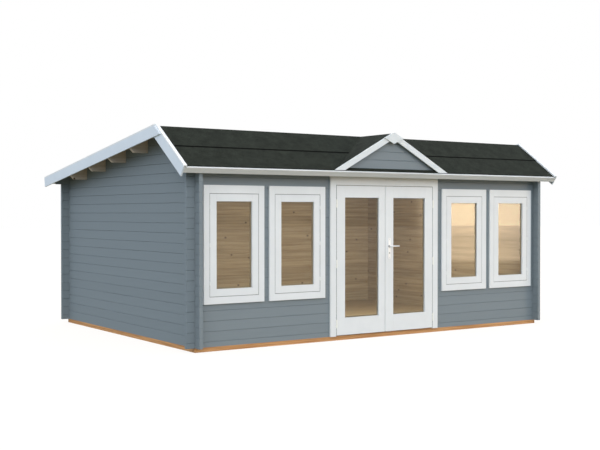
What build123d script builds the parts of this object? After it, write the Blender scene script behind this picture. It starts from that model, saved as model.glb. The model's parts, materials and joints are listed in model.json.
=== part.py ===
from build123d import *
import os
from math import cos, radians, sin, tan

# A garden house of interlocking wall logs under a lopsided roof: a short steep slope over the front,
# a long shallow one to the back, and a small false gable over the double door.
# Millimetres, +Z up. The front faces -Y, and the origin is on the ground in the middle of the roof's plan.

os.makedirs("parts", exist_ok=True)

# Ground frame and floor
base_height = 50
bearer_width = 70
joist_width = 45
joist_count = 7
floor_thickness = 19
floor_edge_gap = 4

# Wall logs
wall_length = 5380
wall_depth = 3780
log_thickness = 44
log_height = 115
log_end = 105
log_groove = 6
neck_share = 0.5
top_log_chamfer = 55

# Roof planes, measured on the underside of the roof boards: the front wall's height over the doorway,
# and the ridge's distance behind the front wall
header_height = 200
ridge_setback = 510
front_pitch = radians(35.3)
rear_pitch = radians(8)
front_reach = 197
rear_reach = 256
gable_reach = 250

# Roof covering and trim boards
roof_board = 18
felt_thickness = 5
trim_thickness = 16
bargeboard_drop = 99
cap_thickness = 18
cap_width = 40

# Eaves: the fascia's top lies this far over the underside of the roof boards, level with the strip behind it
eaves_top = 14
fascia_height = 67
eaves_strip_height = 30
eaves_strip_thickness = 9

# Purlins under the rear slope
purlin_width = 44
purlin_height = 150
purlin_place_shares = (0.213, 0.408, 0.603, 0.797)
purlin_chamfer = 55

# False gable over the door
dormer_pitch = radians(28.4)
dormer_gap = 1
dormer_ridge_drop = 0.5
dormer_board = 16
dormer_rim = 10
panel_board = 104
panel_setback = 30
dormer_bargeboard_depth = 71
apex_plate_half_width = 151
apex_plate_height = 144
apex_plate_thickness = 14

# Joinery shared by the door and the windows
casing_proud = 22
inner_casing = 12
frame_stop = 15
glass_thickness = 6
glass_rebate = 10
glass_setback = 24

# Double door, in courses of logs over the window heads and millimetres
door_extra_courses = 1
door_frame_width = 1718
door_casing_width = 86
door_casing_lap = 50
door_head_height = 63
door_head_lap = 40
leaf_thickness = 40
leaf_gap = 6
leaf_foot_gap = 12
meeting_gap = 7
meeting_offset = -17
hinge_stile = 126
left_meeting_stile = 94.5
right_meeting_stile = 128.5
leaf_bottom_rail = 208
leaf_top_rail = 145

# Windows, in courses of logs and millimetres
sill_courses = 4.5
head_courses = 15.5
window_lap = 35
window_sill_lap = 40
window_head_lap = 26
window_to_door = 76
window_gap = 69
window_to_corner = 100
window_jamb = 40
window_head = 67
sash_gap = 5
sash_setback = 1.5
sash_thickness = 42
sash_stile = 84
sash_bottom_rail = 83

# Drilled-in hinges
hinge_shares = (0.077, 0.477, 0.88)
barrel_radius = 7
barrel_height = 50
barrel_standoff = 0.5
barrel_split = 0.6
pin_radius = 4
pin_length = 40
pin_fit = 0.1
shank_radius = 4
shank_length = 38
shank_fit = 0.1
shank_angle = radians(45)

# Lever handle on the right leaf
handle_backset = 61.5
handle_height = 1130
plate_width = 38
plate_length = 255
plate_thickness = 8
plate_above_lever = 100
plate_corner = 8
lever_radius = 9
lever_reach = 46
lever_length = 122
lever_bend = 16
spindle_radius = 5
spindle_fit = 0.1
lever_gap = 0.4

# Every cut runs this far past the solid that it cuts
overrun = 20

# Places that follow from the sizes above
roof_depth = front_reach + wall_depth + rear_reach
front_face = front_reach - roof_depth / 2
back_face = front_face + wall_depth
end_face = wall_length / 2
front_mid = front_face + log_thickness / 2
back_mid = back_face - log_thickness / 2
end_mid = end_face - log_thickness / 2
front_inside = front_face + log_thickness
casing_face = front_face - casing_proud
inner_casing_face = front_inside + inner_casing
ridge_y = front_face + ridge_setback
neck_height = log_height * neck_share
felt_top = roof_board + felt_thickness
cap_top = felt_top + cap_thickness
front_run = (ridge_setback + front_reach - cap_top * sin(front_pitch)) / cos(front_pitch)
rear_run = (wall_depth - ridge_setback + rear_reach - cap_top * sin(rear_pitch)) / cos(rear_pitch)
front_felt_run = front_run - trim_thickness - eaves_strip_thickness
rear_felt_run = rear_run - trim_thickness - eaves_strip_thickness
front_board_run = front_felt_run - felt_thickness
rear_board_run = rear_felt_run - felt_thickness
rear_half = end_face + gable_reach - trim_thickness
front_half = rear_half - trim_thickness


def course_joint(courses):
    """Height of the joint that lies so many courses of logs above the ground frame."""
    return base_height + courses * log_height


# Heights of the openings in the front wall, and of the ridge over them
sill_joint = course_joint(sill_courses)
head_joint = course_joint(head_courses)
door_top = course_joint(head_courses + door_extra_courses)
ridge_height = door_top + header_height + ridge_setback * tan(front_pitch)
course_count = int((ridge_height - base_height) / log_height) + 1


def front_z(y, rise=0):
    """Height on the front slope at y, at a distance above the underside of the roof boards."""
    return ridge_height + (y - ridge_y) * tan(front_pitch) + rise / cos(front_pitch)


def rear_z(y, rise=0):
    """Height on the rear slope at y, at a distance above the underside of the roof boards."""
    return ridge_height - (y - ridge_y) * tan(rear_pitch) + rise / cos(rear_pitch)


def front_point(run, rise):
    """A point of the front slope, by the distances down the slope and above its underside."""
    y = ridge_y - run * cos(front_pitch) - rise * sin(front_pitch)
    return (y, front_z(y, rise))


def rear_point(run, rise):
    """A point of the rear slope, by the distances down the slope and above its underside."""
    y = ridge_y + run * cos(rear_pitch) + rise * sin(rear_pitch)
    return (y, rear_z(y, rise))


def ridge_point(rise):
    """Where the two slopes meet, at one distance above the undersides of both."""
    spread = 1 / cos(rear_pitch) - 1 / cos(front_pitch)
    y = ridge_y + rise * spread / (tan(front_pitch) + tan(rear_pitch))
    return (y, front_z(y, rise))


def front_slab(low, high, run):
    """Section of a layer of the front slope, mitred at the ridge."""
    return [ridge_point(low), ridge_point(high), front_point(run, high), front_point(run, low)]


def rear_slab(low, high, run):
    """Section of a layer of the rear slope, mitred at the ridge."""
    return [ridge_point(low), ridge_point(high), rear_point(run, high), rear_point(run, low)]


# Heights and places of the joints between logs, and of the necks where two walls cross
end_wall_joints = [course_joint(k) for k in range(course_count)]
long_wall_joints = [course_joint(k + neck_share) for k in range(course_count)]
corner_xs = (-end_mid, end_mid)
corner_ys = (front_mid, back_mid)
door_frame_half = door_frame_width / 2
door_opening_half = door_frame_half - door_casing_lap
inner_window_edge = door_frame_half + window_to_door
window_width = (end_face - window_to_corner - window_gap - inner_window_edge) / 2
window_spacing = window_width + window_gap
window_centers = [inner_window_edge + window_width / 2 + k * window_spacing for k in range(2)]
window_opening_half = window_width / 2 - window_lap
log_tip = end_face + log_end

# The space under the roof boards, and the space over the felt, which trim what meets the roof
eave_ys = (-roof_depth, roof_depth)
with BuildPart() as below_roof:
    with BuildSketch(Plane.YZ):
        Polygon(
            (eave_ys[0], -ridge_height),
            (eave_ys[1], -ridge_height),
            (eave_ys[1], rear_z(eave_ys[1])),
            ridge_point(0),
            (eave_ys[0], front_z(eave_ys[0])),
            align=None,
        )
    extrude(amount=wall_length, both=True)

with BuildPart() as above_felt:
    with BuildSketch(Plane.YZ):
        Polygon(
            (eave_ys[0], front_z(eave_ys[0], felt_top)),
            ridge_point(felt_top),
            (eave_ys[1], rear_z(eave_ys[1], felt_top)),
            (eave_ys[1], ridge_height + roof_depth),
            (eave_ys[0], ridge_height + roof_depth),
            align=None,
        )
    extrude(amount=wall_length, both=True)

# Ground frame: two long bearers with joists between them
with BuildPart() as long_bearers:
    for y in (front_face + bearer_width / 2, back_face - bearer_width / 2):
        with BuildSketch(Plane.XY):
            with Locations((0, y)):
                Rectangle(wall_length, bearer_width)
        extrude(amount=base_height)

with BuildPart() as floor_joists:
    with BuildSketch(Plane.XY):
        joist_pitch = (wall_length - joist_width) / (joist_count - 1)
        with Locations((0, (front_face + back_face) / 2)):
            with GridLocations(joist_pitch, 0, joist_count, 1):
                Rectangle(joist_width, wall_depth - 2 * bearer_width)
    extrude(amount=base_height)

with BuildPart() as floor_deck:
    with BuildSketch(Plane.XY.offset(base_height)):
        inset = log_thickness + floor_edge_gap
        with Locations((0, (front_face + back_face) / 2)):
            Rectangle(wall_length - 2 * inset, wall_depth - 2 * inset)
        doorway_edge = inner_casing_face + floor_edge_gap
        with Locations((0, (front_face + doorway_edge) / 2)):
            Rectangle(door_frame_width + 2 * floor_edge_gap, doorway_edge - front_face, mode=Mode.SUBTRACT)
    extrude(amount=floor_thickness)


# Walls: stacks of logs with a V at each joint, notched where two walls cross
purlin_ys = [ridge_y] + [ridge_y + share * (back_mid - ridge_y) for share in purlin_place_shares]


def purlin_bottom(y):
    """Height of a purlin's underside, from the roof at its high edge."""
    return min(ridge_height, rear_z(y - purlin_width / 2)) - purlin_height


def groove_points(middle, joints):
    """Places of the V cuts on both faces of a wall, across its section."""
    return [(middle + side * log_thickness / 2, z) for z in joints for side in (-1, 1)]


def long_wall_stack(left, right, bottom, top, y_mid):
    """Courses of logs along X, with notches for the end walls where the stack reaches them."""
    with BuildPart() as stack:
        with BuildSketch(Plane.YZ.offset(left)):
            with Locations((y_mid, (bottom + top) / 2)):
                Rectangle(log_thickness, top - bottom)
            with Locations(*groove_points(y_mid, long_wall_joints)):
                Rectangle(log_groove, log_groove, rotation=45, mode=Mode.SUBTRACT)
        extrude(amount=right - left)
        crossed = [x for x in corner_xs if left < x < right]
        notches = [z for z in long_wall_joints if bottom - log_height < z < top + log_height]
        if crossed:
            with Locations(*[(x, y_mid, z) for x in crossed for z in notches]):
                Box(log_thickness, log_thickness + overrun, neck_height, mode=Mode.SUBTRACT)
    return stack


def top_joint(y_mid):
    """The highest joint between logs that leaves half a log or more under the roof."""
    under_roof = min(rear_z(y_mid), front_z(y_mid))
    return max(z for z in long_wall_joints if z + log_height / 2 < under_roof)


def roof_stack(bottom, y_mid, tip):
    """Top courses along X, trimmed by the roof, with the top log run out under the overhang."""
    top_log_foot = top_joint(y_mid)
    stack = long_wall_stack(-log_tip, log_tip, bottom, ridge_height, y_mid)
    with BuildPart() as top_log:
        with BuildSketch(Plane.YZ):
            with Locations((y_mid, (top_log_foot + ridge_height) / 2)):
                Rectangle(log_thickness, ridge_height - top_log_foot)
            with Locations(*groove_points(y_mid, [top_log_foot])):
                Rectangle(log_groove, log_groove, rotation=45, mode=Mode.SUBTRACT)
        extrude(amount=tip, both=True)
        lower_ends = top_log.edges().filter_by(Axis.Y).group_by(Axis.Z)[0]
        chamfer(lower_ends, length=top_log_chamfer)
        with BuildSketch(Plane.YZ):
            with Locations((y_mid, ridge_height / 2)):
                Rectangle(log_thickness + overrun, ridge_height + overrun)
        extrude(amount=log_tip, both=True, mode=Mode.SUBTRACT)
        add(stack.part)
        add(below_roof.part, mode=Mode.INTERSECT)
    return top_log


def end_wall(side):
    """A gable wall of logs along Y, notched for the long walls and open for the purlins."""
    front_tip = front_face - log_end
    with BuildPart() as wall:
        with BuildSketch(Plane.XZ.offset(-front_tip)):
            with Locations((side * end_mid, (base_height + ridge_height) / 2)):
                Rectangle(log_thickness, ridge_height - base_height)
            with Locations(*groove_points(side * end_mid, end_wall_joints[1:])):
                Rectangle(log_groove, log_groove, rotation=45, mode=Mode.SUBTRACT)
        extrude(amount=-(wall_depth + 2 * log_end))
        with Locations(*[(side * end_mid, y, z) for y in corner_ys for z in end_wall_joints]):
            Box(log_thickness + overrun, log_thickness, neck_height, mode=Mode.SUBTRACT)
        for y in purlin_ys:
            with BuildSketch(Plane.XY.offset(purlin_bottom(y))):
                with Locations((side * end_mid, y)):
                    Rectangle(log_thickness + overrun, purlin_width)
            extrude(amount=purlin_height + overrun, mode=Mode.SUBTRACT)
        add(below_roof.part, mode=Mode.INTERSECT)
    return wall


left_wall = end_wall(-1)
right_wall = end_wall(1)
back_top_joint = top_joint(back_mid)
back_wall = long_wall_stack(-log_tip, log_tip, base_height, back_top_joint, back_mid)
back_header_logs = roof_stack(back_top_joint, back_mid, rear_half)
front_header_logs = roof_stack(door_top, front_mid, front_half)

# Front wall beside the doorway: full courses under and over the windows, piers of short logs between
outer_window, inner_window = window_centers[1], window_centers[0]
pier_spans = {
    "corner": (outer_window + window_opening_half, log_tip),
    "window": (inner_window + window_opening_half, outer_window - window_opening_half),
    "door": (door_opening_half, inner_window - window_opening_half),
}


def both_sides(near, far, bottom, top):
    """The same stack of front logs on the right of the door and, mirrored, on the left."""
    half = long_wall_stack(near, far, bottom, top, front_mid)
    with BuildPart() as pair:
        add(half.part)
        mirror(half.part, about=Plane.YZ)
    return pair


front_sill_logs = both_sides(door_opening_half, log_tip, base_height, sill_joint)
front_corner_piers = both_sides(*pier_spans["corner"], sill_joint, head_joint)
front_window_piers = both_sides(*pier_spans["window"], sill_joint, head_joint)
front_door_piers = both_sides(*pier_spans["door"], sill_joint, head_joint)
front_head_logs = both_sides(door_opening_half, log_tip, head_joint, door_top)


# Purlins, bevelled by the roof, with the lower edge of each end cut off
def purlin(y, half_length):
    """One roof beam along X, seated in the end walls."""
    with BuildPart() as beam:
        with BuildSketch(Plane.XY.offset(purlin_bottom(y))):
            with Locations((0, y)):
                Rectangle(2 * half_length, purlin_width)
        extrude(amount=purlin_height)
        chamfer(beam.edges().filter_by(Axis.Y).group_by(Axis.Z)[0], length=purlin_chamfer)
        add(below_roof.part, mode=Mode.INTERSECT)
    return beam


ridge_purlin = purlin(purlin_ys[0], front_half)
rear_purlins = [purlin(y, rear_half) for y in purlin_ys[1:]]
with BuildPart() as purlins:
    for beam in rear_purlins:
        add(beam.part)

# Roof boards, and the felt over them, turned down over their ends
with BuildPart() as front_roof_boards:
    with BuildSketch(Plane.YZ):
        Polygon(*front_slab(0, roof_board, front_board_run), align=None)
    extrude(amount=front_half, both=True)

with BuildPart() as rear_roof_boards:
    with BuildSketch(Plane.YZ):
        Polygon(*rear_slab(0, roof_board, rear_board_run), align=None)
    extrude(amount=rear_half, both=True)

with BuildPart() as front_roof_felt:
    with BuildSketch(Plane.YZ):
        Polygon(
            ridge_point(roof_board),
            ridge_point(felt_top),
            front_point(front_felt_run, felt_top),
            front_point(front_felt_run, 0),
            front_point(front_board_run, 0),
            front_point(front_board_run, roof_board),
            align=None,
        )
    extrude(amount=front_half, both=True)

with BuildPart() as rear_roof_felt:
    with BuildSketch(Plane.YZ):
        Polygon(
            ridge_point(roof_board),
            ridge_point(felt_top),
            rear_point(rear_felt_run, felt_top),
            rear_point(rear_felt_run, 0),
            rear_point(rear_board_run, 0),
            rear_point(rear_board_run, roof_board),
            align=None,
        )
    extrude(amount=rear_half, both=True)


# Eaves: a strip that holds the turned-down felt, and a fascia in front of it
def eaves_board(point, near, far, height):
    """Section of a board across the slope's foot, between two runs and below the top of the eaves."""
    return [
        point(near, eaves_top - height),
        point(near, eaves_top),
        point(far, eaves_top),
        point(far, eaves_top - height),
    ]


with BuildPart() as front_fascia:
    with BuildSketch(Plane.YZ):
        Polygon(
            *eaves_board(front_point, front_run - trim_thickness, front_run, fascia_height), align=None
        )
    extrude(amount=front_half, both=True)

with BuildPart() as rear_fascia:
    with BuildSketch(Plane.YZ):
        Polygon(*eaves_board(rear_point, rear_run - trim_thickness, rear_run, fascia_height), align=None)
    extrude(amount=rear_half, both=True)

with BuildPart() as eaves_strips:
    with BuildSketch(Plane.YZ):
        fascia_back = front_run - trim_thickness
        Polygon(*eaves_board(front_point, front_felt_run, fascia_back, eaves_strip_height), align=None)
    extrude(amount=front_half, both=True)
    with BuildSketch(Plane.YZ):
        fascia_back = rear_run - trim_thickness
        Polygon(*eaves_board(rear_point, rear_felt_run, fascia_back, eaves_strip_height), align=None)
    extrude(amount=rear_half, both=True)


# Verges: the rear bargeboard laps over the head of the front one, each with a cap strip on the felt
def across(side, inner, outer):
    """The plane and depth of a layer between two distances from the middle, on one side."""
    return (Plane.YZ.offset(side * inner), side * (outer - inner))


def lapped_head():
    """Where the underside of the rear bargeboard runs out to the top of the front one."""
    gap = felt_top / cos(front_pitch) + bargeboard_drop / cos(rear_pitch)
    y = ridge_y - gap / (tan(front_pitch) + tan(rear_pitch))
    return (y, front_z(y, felt_top))


def front_bargeboard(side):
    """The board under the front verge, square at its foot."""
    plane, depth = across(side, front_half, front_half + trim_thickness)
    with BuildPart() as board:
        with BuildSketch(plane):
            Polygon(*front_slab(-bargeboard_drop, felt_top, front_run), align=None)
        extrude(amount=depth)
    return board


def rear_bargeboard(side):
    """The board under the rear verge, whose head is cut along the front slope."""
    plane, depth = across(side, rear_half, rear_half + trim_thickness)
    with BuildPart() as board:
        with BuildSketch(plane):
            Polygon(
                lapped_head(),
                ridge_point(felt_top),
                rear_point(rear_run, felt_top),
                rear_point(rear_run, -bargeboard_drop),
                align=None,
            )
        extrude(amount=depth)
    return board


def front_cap(side):
    """The strip over the felt along the front verge."""
    edge = front_half + trim_thickness
    plane, depth = across(side, edge - cap_width, edge)
    with BuildPart() as cap:
        with BuildSketch(plane):
            Polygon(*front_slab(felt_top, cap_top, front_run), align=None)
        extrude(amount=depth)
    return cap


def rear_cap(side):
    """The strip over the felt along the rear verge."""
    edge = rear_half + trim_thickness
    plane, depth = across(side, edge - cap_width, edge)
    with BuildPart() as cap:
        with BuildSketch(plane):
            Polygon(*rear_slab(felt_top, cap_top, rear_run), align=None)
        extrude(amount=depth)
    return cap


left_front_bargeboard = front_bargeboard(-1)
right_front_bargeboard = front_bargeboard(1)
left_rear_bargeboard = rear_bargeboard(-1)
right_rear_bargeboard = rear_bargeboard(1)

with BuildPart() as front_verge_caps:
    add(front_cap(-1).part)
    add(front_cap(1).part)

with BuildPart() as rear_verge_caps:
    add(rear_cap(-1).part)
    add(rear_cap(1).part)

# False gable: two small slopes that die into the front slope, over a boarded triangle set back under them
dormer_face = front_point(front_felt_run, felt_top)[0] + dormer_gap
dormer_back = dormer_face + trim_thickness
panel_face = dormer_back + panel_setback
dormer_ridge = ridge_point(felt_top)[1] - dormer_ridge_drop
dormer_span = roof_depth / 2
dormer_length = ridge_point(felt_top)[0] - dormer_back


def dormer_drop(depth):
    """How far below the false gable's ridge a layer lies that is so deep under its felt."""
    return dormer_ridge - depth / cos(dormer_pitch)


def dormer_slab(side, low, high):
    """Section of one layer of a small slope, between two depths under its felt."""
    fall = dormer_span * tan(dormer_pitch)
    return [
        (0, dormer_drop(high)),
        (0, dormer_drop(low)),
        (side * dormer_span, dormer_drop(low) - fall),
        (side * dormer_span, dormer_drop(high) - fall),
    ]


def dormer_slope(side):
    """The boards of one small slope, cut off where they meet the main felt."""
    with BuildPart() as slope:
        with BuildSketch(Plane.XZ.offset(-dormer_back)):
            Polygon(*dormer_slab(side, felt_thickness, felt_thickness + dormer_board), align=None)
        extrude(amount=-dormer_length)
        add(above_felt.part, mode=Mode.INTERSECT)
    return slope


def dormer_bargeboard(side):
    """One raking board on the face of the false gable, from its apex down to the main felt."""
    with BuildPart() as board:
        with BuildSketch(Plane.XZ.offset(-dormer_back)):
            Polygon(*dormer_slab(side, -dormer_rim, dormer_bargeboard_depth - dormer_rim), align=None)
        extrude(amount=trim_thickness)
        add(above_felt.part, mode=Mode.INTERSECT)
    return board


dormer_left_boards = dormer_slope(-1)
dormer_right_boards = dormer_slope(1)
dormer_left_bargeboard = dormer_bargeboard(-1)
dormer_right_bargeboard = dormer_bargeboard(1)

with BuildPart() as dormer_felt:
    with BuildSketch(Plane.XZ.offset(-dormer_back)):
        Polygon(*dormer_slab(-1, 0, felt_thickness), align=None)
        Polygon(*dormer_slab(1, 0, felt_thickness), align=None)
    extrude(amount=-dormer_length)
    add(above_felt.part, mode=Mode.INTERSECT)

with BuildPart() as dormer_gable_panel:
    with BuildSketch(Plane.XZ.offset(-panel_face)):
        peak = dormer_drop(felt_thickness + dormer_board)
        foot = peak - dormer_span * tan(dormer_pitch)
        Polygon((0, peak), (-dormer_span, foot), (dormer_span, foot), align=None)
    extrude(amount=-dormer_board)
    add(above_felt.part, mode=Mode.INTERSECT)
    with BuildSketch(Plane.YZ):
        panel_foot = front_z(panel_face, felt_top)
        board_count = int((peak - panel_foot) / panel_board)
        with Locations(*[(panel_face, panel_foot + (k + 1) * panel_board) for k in range(board_count)]):
            Rectangle(log_groove, log_groove, rotation=45)
    extrude(amount=dormer_span, both=True, mode=Mode.SUBTRACT)

with BuildPart() as dormer_apex_plate:
    with BuildSketch(Plane.XZ.offset(-dormer_face)):
        plate_top = dormer_drop(-dormer_rim)
        plate_middle = plate_top - apex_plate_height / 2
        Polygon(
            (0, plate_top),
            (-apex_plate_half_width, plate_middle),
            (0, plate_top - apex_plate_height),
            (apex_plate_half_width, plate_middle),
            align=None,
        )
    extrude(amount=apex_plate_thickness)

# Door frame: channels that slip over the log ends, with a stop behind the leaves
jamb_face = door_frame_half - door_casing_width
stop_front = casing_face + leaf_thickness + leaf_gap
head_bottom = door_top - door_head_height
leaf_bottom = base_height + leaf_foot_gap
leaf_top = head_bottom - leaf_gap
leaf_back = casing_face + leaf_thickness
hinge_edge = jamb_face - leaf_gap
hinge_x = (jamb_face + hinge_edge) / 2
hinge_y = casing_face - barrel_radius - barrel_standoff
hinge_heights = [leaf_bottom + share * (leaf_top - leaf_bottom) for share in hinge_shares]
frame_shank_heights = [z - barrel_height / 2 for z in hinge_heights]
leaf_shank_heights = [z + barrel_split + barrel_height / 2 for z in hinge_heights]


def shank(side, inward, z, radius, length):
    """A rod from a hinge barrel at a slant into the frame or, inward, into the leaf."""
    slant = (side * inward * cos(shank_angle), sin(shank_angle), 0)
    with BuildPart() as rod:
        with BuildSketch(Plane(origin=(side * hinge_x, hinge_y, z), z_dir=slant)):
            Circle(radius)
        extrude(amount=length)
    return rod


def shank_bore(side, inward, z):
    """The hole that takes a hinge shank."""
    return shank(side, inward, z, shank_radius + shank_fit, shank_length + shank_fit)


def jamb(side):
    """One upright of the door frame, as a plan section run up to the head."""
    outline = [
        (door_frame_half, casing_face),
        (jamb_face, casing_face),
        (jamb_face, stop_front),
        (jamb_face - frame_stop, stop_front),
        (jamb_face - frame_stop, inner_casing_face),
        (door_frame_half, inner_casing_face),
        (door_frame_half, front_inside),
        (door_opening_half, front_inside),
        (door_opening_half, front_face),
        (door_frame_half, front_face),
    ]
    with BuildPart() as upright:
        with BuildSketch(Plane.XY.offset(base_height)):
            Polygon(*[(side * x, y) for x, y in outline], align=None)
        extrude(amount=head_bottom - base_height)
        for z in frame_shank_heights:
            add(shank_bore(side, 1, z).part, mode=Mode.SUBTRACT)
    return upright


with BuildPart() as door_jambs:
    add(jamb(-1).part)
    add(jamb(1).part)

with BuildPart() as door_head:
    with BuildSketch(Plane.XY.offset(head_bottom)):
        for low, high, half in (
            (casing_face, front_face, door_frame_half),
            (front_face, front_inside, door_opening_half),
            (front_inside, inner_casing_face, door_frame_half),
        ):
            with Locations((0, (low + high) / 2)):
                Rectangle(2 * half, high - low)
    extrude(amount=door_head_height)
    with BuildSketch(Plane.XY.offset(door_top)):
        for low, high in ((casing_face, front_face), (front_inside, inner_casing_face)):
            with Locations((0, (low + high) / 2)):
                Rectangle(door_frame_width, high - low)
    extrude(amount=door_head_lap)
    with BuildSketch(Plane.XY.offset(head_bottom)):
        with Locations((0, (stop_front + inner_casing_face) / 2)):
            Rectangle(2 * (jamb_face - frame_stop), inner_casing_face - stop_front)
    extrude(amount=-frame_stop)

with BuildPart() as door_threshold:
    with BuildSketch(Plane.XY.offset(base_height)):
        with Locations((0, (stop_front + inner_casing_face) / 2)):
            Rectangle(2 * (jamb_face - frame_stop), inner_casing_face - stop_front)
    extrude(amount=leaf_foot_gap + frame_stop)
    top_edges = door_threshold.edges().filter_by(Axis.X).group_by(Axis.Z)[-1]
    chamfer(top_edges.sort_by(Axis.Y)[0], length=leaf_gap)

# Door leaves: stiles and rails round one sheet of glass
door_glass_bottom = leaf_bottom + leaf_bottom_rail
door_glass_top = leaf_top - leaf_top_rail
left_meeting = meeting_offset - meeting_gap / 2
right_meeting = meeting_offset + meeting_gap / 2


def glazed_frame(outer, opening, front, thickness):
    """A rectangular frame facing the front, with a rebate for glass; boxes are left, right, low, high."""
    left, right, low, high = outer
    pane_left, pane_right, pane_low, pane_high = opening
    with BuildPart() as ring:
        with BuildSketch(Plane.XZ.offset(-front)):
            with Locations(((left + right) / 2, (low + high) / 2)):
                Rectangle(right - left, high - low)
            with Locations(((pane_left + pane_right) / 2, (pane_low + pane_high) / 2)):
                Rectangle(pane_right - pane_left, pane_high - pane_low, mode=Mode.SUBTRACT)
        extrude(amount=-thickness)
        with BuildSketch(Plane.XZ.offset(-(front + glass_setback))):
            with Locations(((pane_left + pane_right) / 2, (pane_low + pane_high) / 2)):
                Rectangle(
                    pane_right - pane_left + 2 * glass_rebate,
                    pane_high - pane_low + 2 * glass_rebate,
                )
        extrude(amount=-thickness, mode=Mode.SUBTRACT)
    return ring


def pane(opening, front):
    """The sheet of glass that fills a frame's rebate."""
    left, right, low, high = opening
    with BuildPart() as sheet:
        with BuildSketch(Plane.XZ.offset(-(front + glass_setback))):
            with Locations(((left + right) / 2, (low + high) / 2)):
                Rectangle(right - left + 2 * glass_rebate, high - low + 2 * glass_rebate)
        extrude(amount=-glass_thickness)
    return sheet


left_glass_edge = left_meeting - left_meeting_stile
right_glass_edge = right_meeting + right_meeting_stile
hinge_glass_edge = hinge_edge - hinge_stile
left_opening = (-hinge_glass_edge, left_glass_edge, door_glass_bottom, door_glass_top)
right_opening = (right_glass_edge, hinge_glass_edge, door_glass_bottom, door_glass_top)
left_leaf_frame = glazed_frame(
    (-hinge_edge, left_meeting, leaf_bottom, leaf_top), left_opening, casing_face, leaf_thickness
)
left_door_glass = pane(left_opening, casing_face)
right_door_glass = pane(right_opening, casing_face)
right_leaf_frame = glazed_frame(
    (right_meeting, hinge_edge, leaf_bottom, leaf_top), right_opening, casing_face, leaf_thickness
)
with BuildPart() as left_door_leaf:
    add(left_leaf_frame.part)
    for z in leaf_shank_heights:
        add(shank_bore(-1, -1, z).part, mode=Mode.SUBTRACT)

handle_x = right_meeting + handle_backset
with BuildPart() as right_door_leaf:
    add(right_leaf_frame.part)
    for z in leaf_shank_heights:
        add(shank_bore(1, -1, z).part, mode=Mode.SUBTRACT)
    with BuildSketch(Plane.XZ.offset(-casing_face)):
        with Locations((handle_x, handle_height)):
            Circle(spindle_radius + spindle_fit)
    extrude(amount=-leaf_thickness, mode=Mode.SUBTRACT)


# Hinges: a pinned barrel on the frame, and a bored barrel on the leaf that stands over it
def pinned_barrel(side, z):
    """The lower half of one hinge: barrel, pin and the shank in the frame."""
    with BuildPart() as lower:
        with BuildSketch(Plane.XY.offset(z - barrel_height)):
            with Locations((side * hinge_x, hinge_y)):
                Circle(barrel_radius)
        extrude(amount=barrel_height)
        with BuildSketch(Plane.XY.offset(z)):
            with Locations((side * hinge_x, hinge_y)):
                Circle(pin_radius)
        extrude(amount=pin_length)
        add(shank(side, 1, z - barrel_height / 2, shank_radius, shank_length).part)
    return lower


def bored_barrel(side, z):
    """The upper half of one hinge: bored barrel and the shank in the leaf."""
    foot = z + barrel_split
    with BuildPart() as upper:
        with BuildSketch(Plane.XY.offset(foot)):
            with Locations((side * hinge_x, hinge_y)):
                Circle(barrel_radius)
        extrude(amount=barrel_height)
        add(shank(side, -1, foot + barrel_height / 2, shank_radius, shank_length).part)
        with BuildSketch(Plane.XY.offset(foot)):
            with Locations((side * hinge_x, hinge_y)):
                Circle(pin_radius + pin_fit)
        extrude(amount=pin_length, mode=Mode.SUBTRACT)
    return upper


with BuildPart() as frame_hinges:
    for z in hinge_heights:
        add(pinned_barrel(-1, z).part)
        add(pinned_barrel(1, z).part)

with BuildPart() as left_door_hinges:
    for z in hinge_heights:
        add(bored_barrel(-1, z).part)

with BuildPart() as right_door_hinges:
    for z in hinge_heights:
        add(bored_barrel(1, z).part)


# Handle: a long plate on each face of the right leaf, and two levers on one spindle
def handle_plate(plane):
    """One long plate with rounded corners and a bore for the spindle."""
    middle = handle_height + plate_above_lever - plate_length / 2
    with BuildPart() as plate:
        with BuildSketch(plane):
            with Locations((handle_x, middle)):
                RectangleRounded(plate_width, plate_length, plate_corner)
            with Locations((handle_x, handle_height)):
                Circle(spindle_radius + spindle_fit, mode=Mode.SUBTRACT)
        extrude(amount=plate_thickness)
    return plate


outer_plate_plane = Plane.XZ.offset(-casing_face)
inner_plate_plane = Plane.XZ.offset(-(leaf_back + plate_thickness))
with BuildPart() as handle_plates:
    add(handle_plate(outer_plate_plane).part)
    add(handle_plate(inner_plate_plane).part)


def lever(face, away):
    """One bent round lever, from the face of its plate out and then towards the hinges."""
    start = face + away * lever_gap
    tip = face + away * lever_reach
    with BuildPart() as arm:
        with BuildLine(Plane.XY.offset(handle_height)) as route:
            FilletPolyline(
                (handle_x, start),
                (handle_x, tip),
                (handle_x + lever_length, tip),
                radius=lever_bend,
            )
        with BuildSketch(Plane(origin=route.line @ 0, z_dir=route.line % 0)):
            Circle(lever_radius)
        sweep()
        fillet(arm.edges().filter_by(GeomType.CIRCLE).sort_by(Axis.X)[-1], radius=lever_radius / 2)
    return arm


outer_plate_face = casing_face - plate_thickness
inner_plate_face = leaf_back + plate_thickness
with BuildPart() as door_lever:
    add(lever(outer_plate_face, -1).part)
    add(lever(inner_plate_face, 1).part)
    with BuildSketch(Plane.XZ.offset(-(outer_plate_face - spindle_radius))):
        with Locations((handle_x, handle_height)):
            Circle(spindle_radius)
    extrude(amount=-(inner_plate_face - outer_plate_face + 2 * spindle_radius))

# Windows: frames that grip the log ends, fixed sashes and one sheet of glass in each
sash_front = casing_face + sash_setback
sash_back = sash_front + sash_thickness


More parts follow.
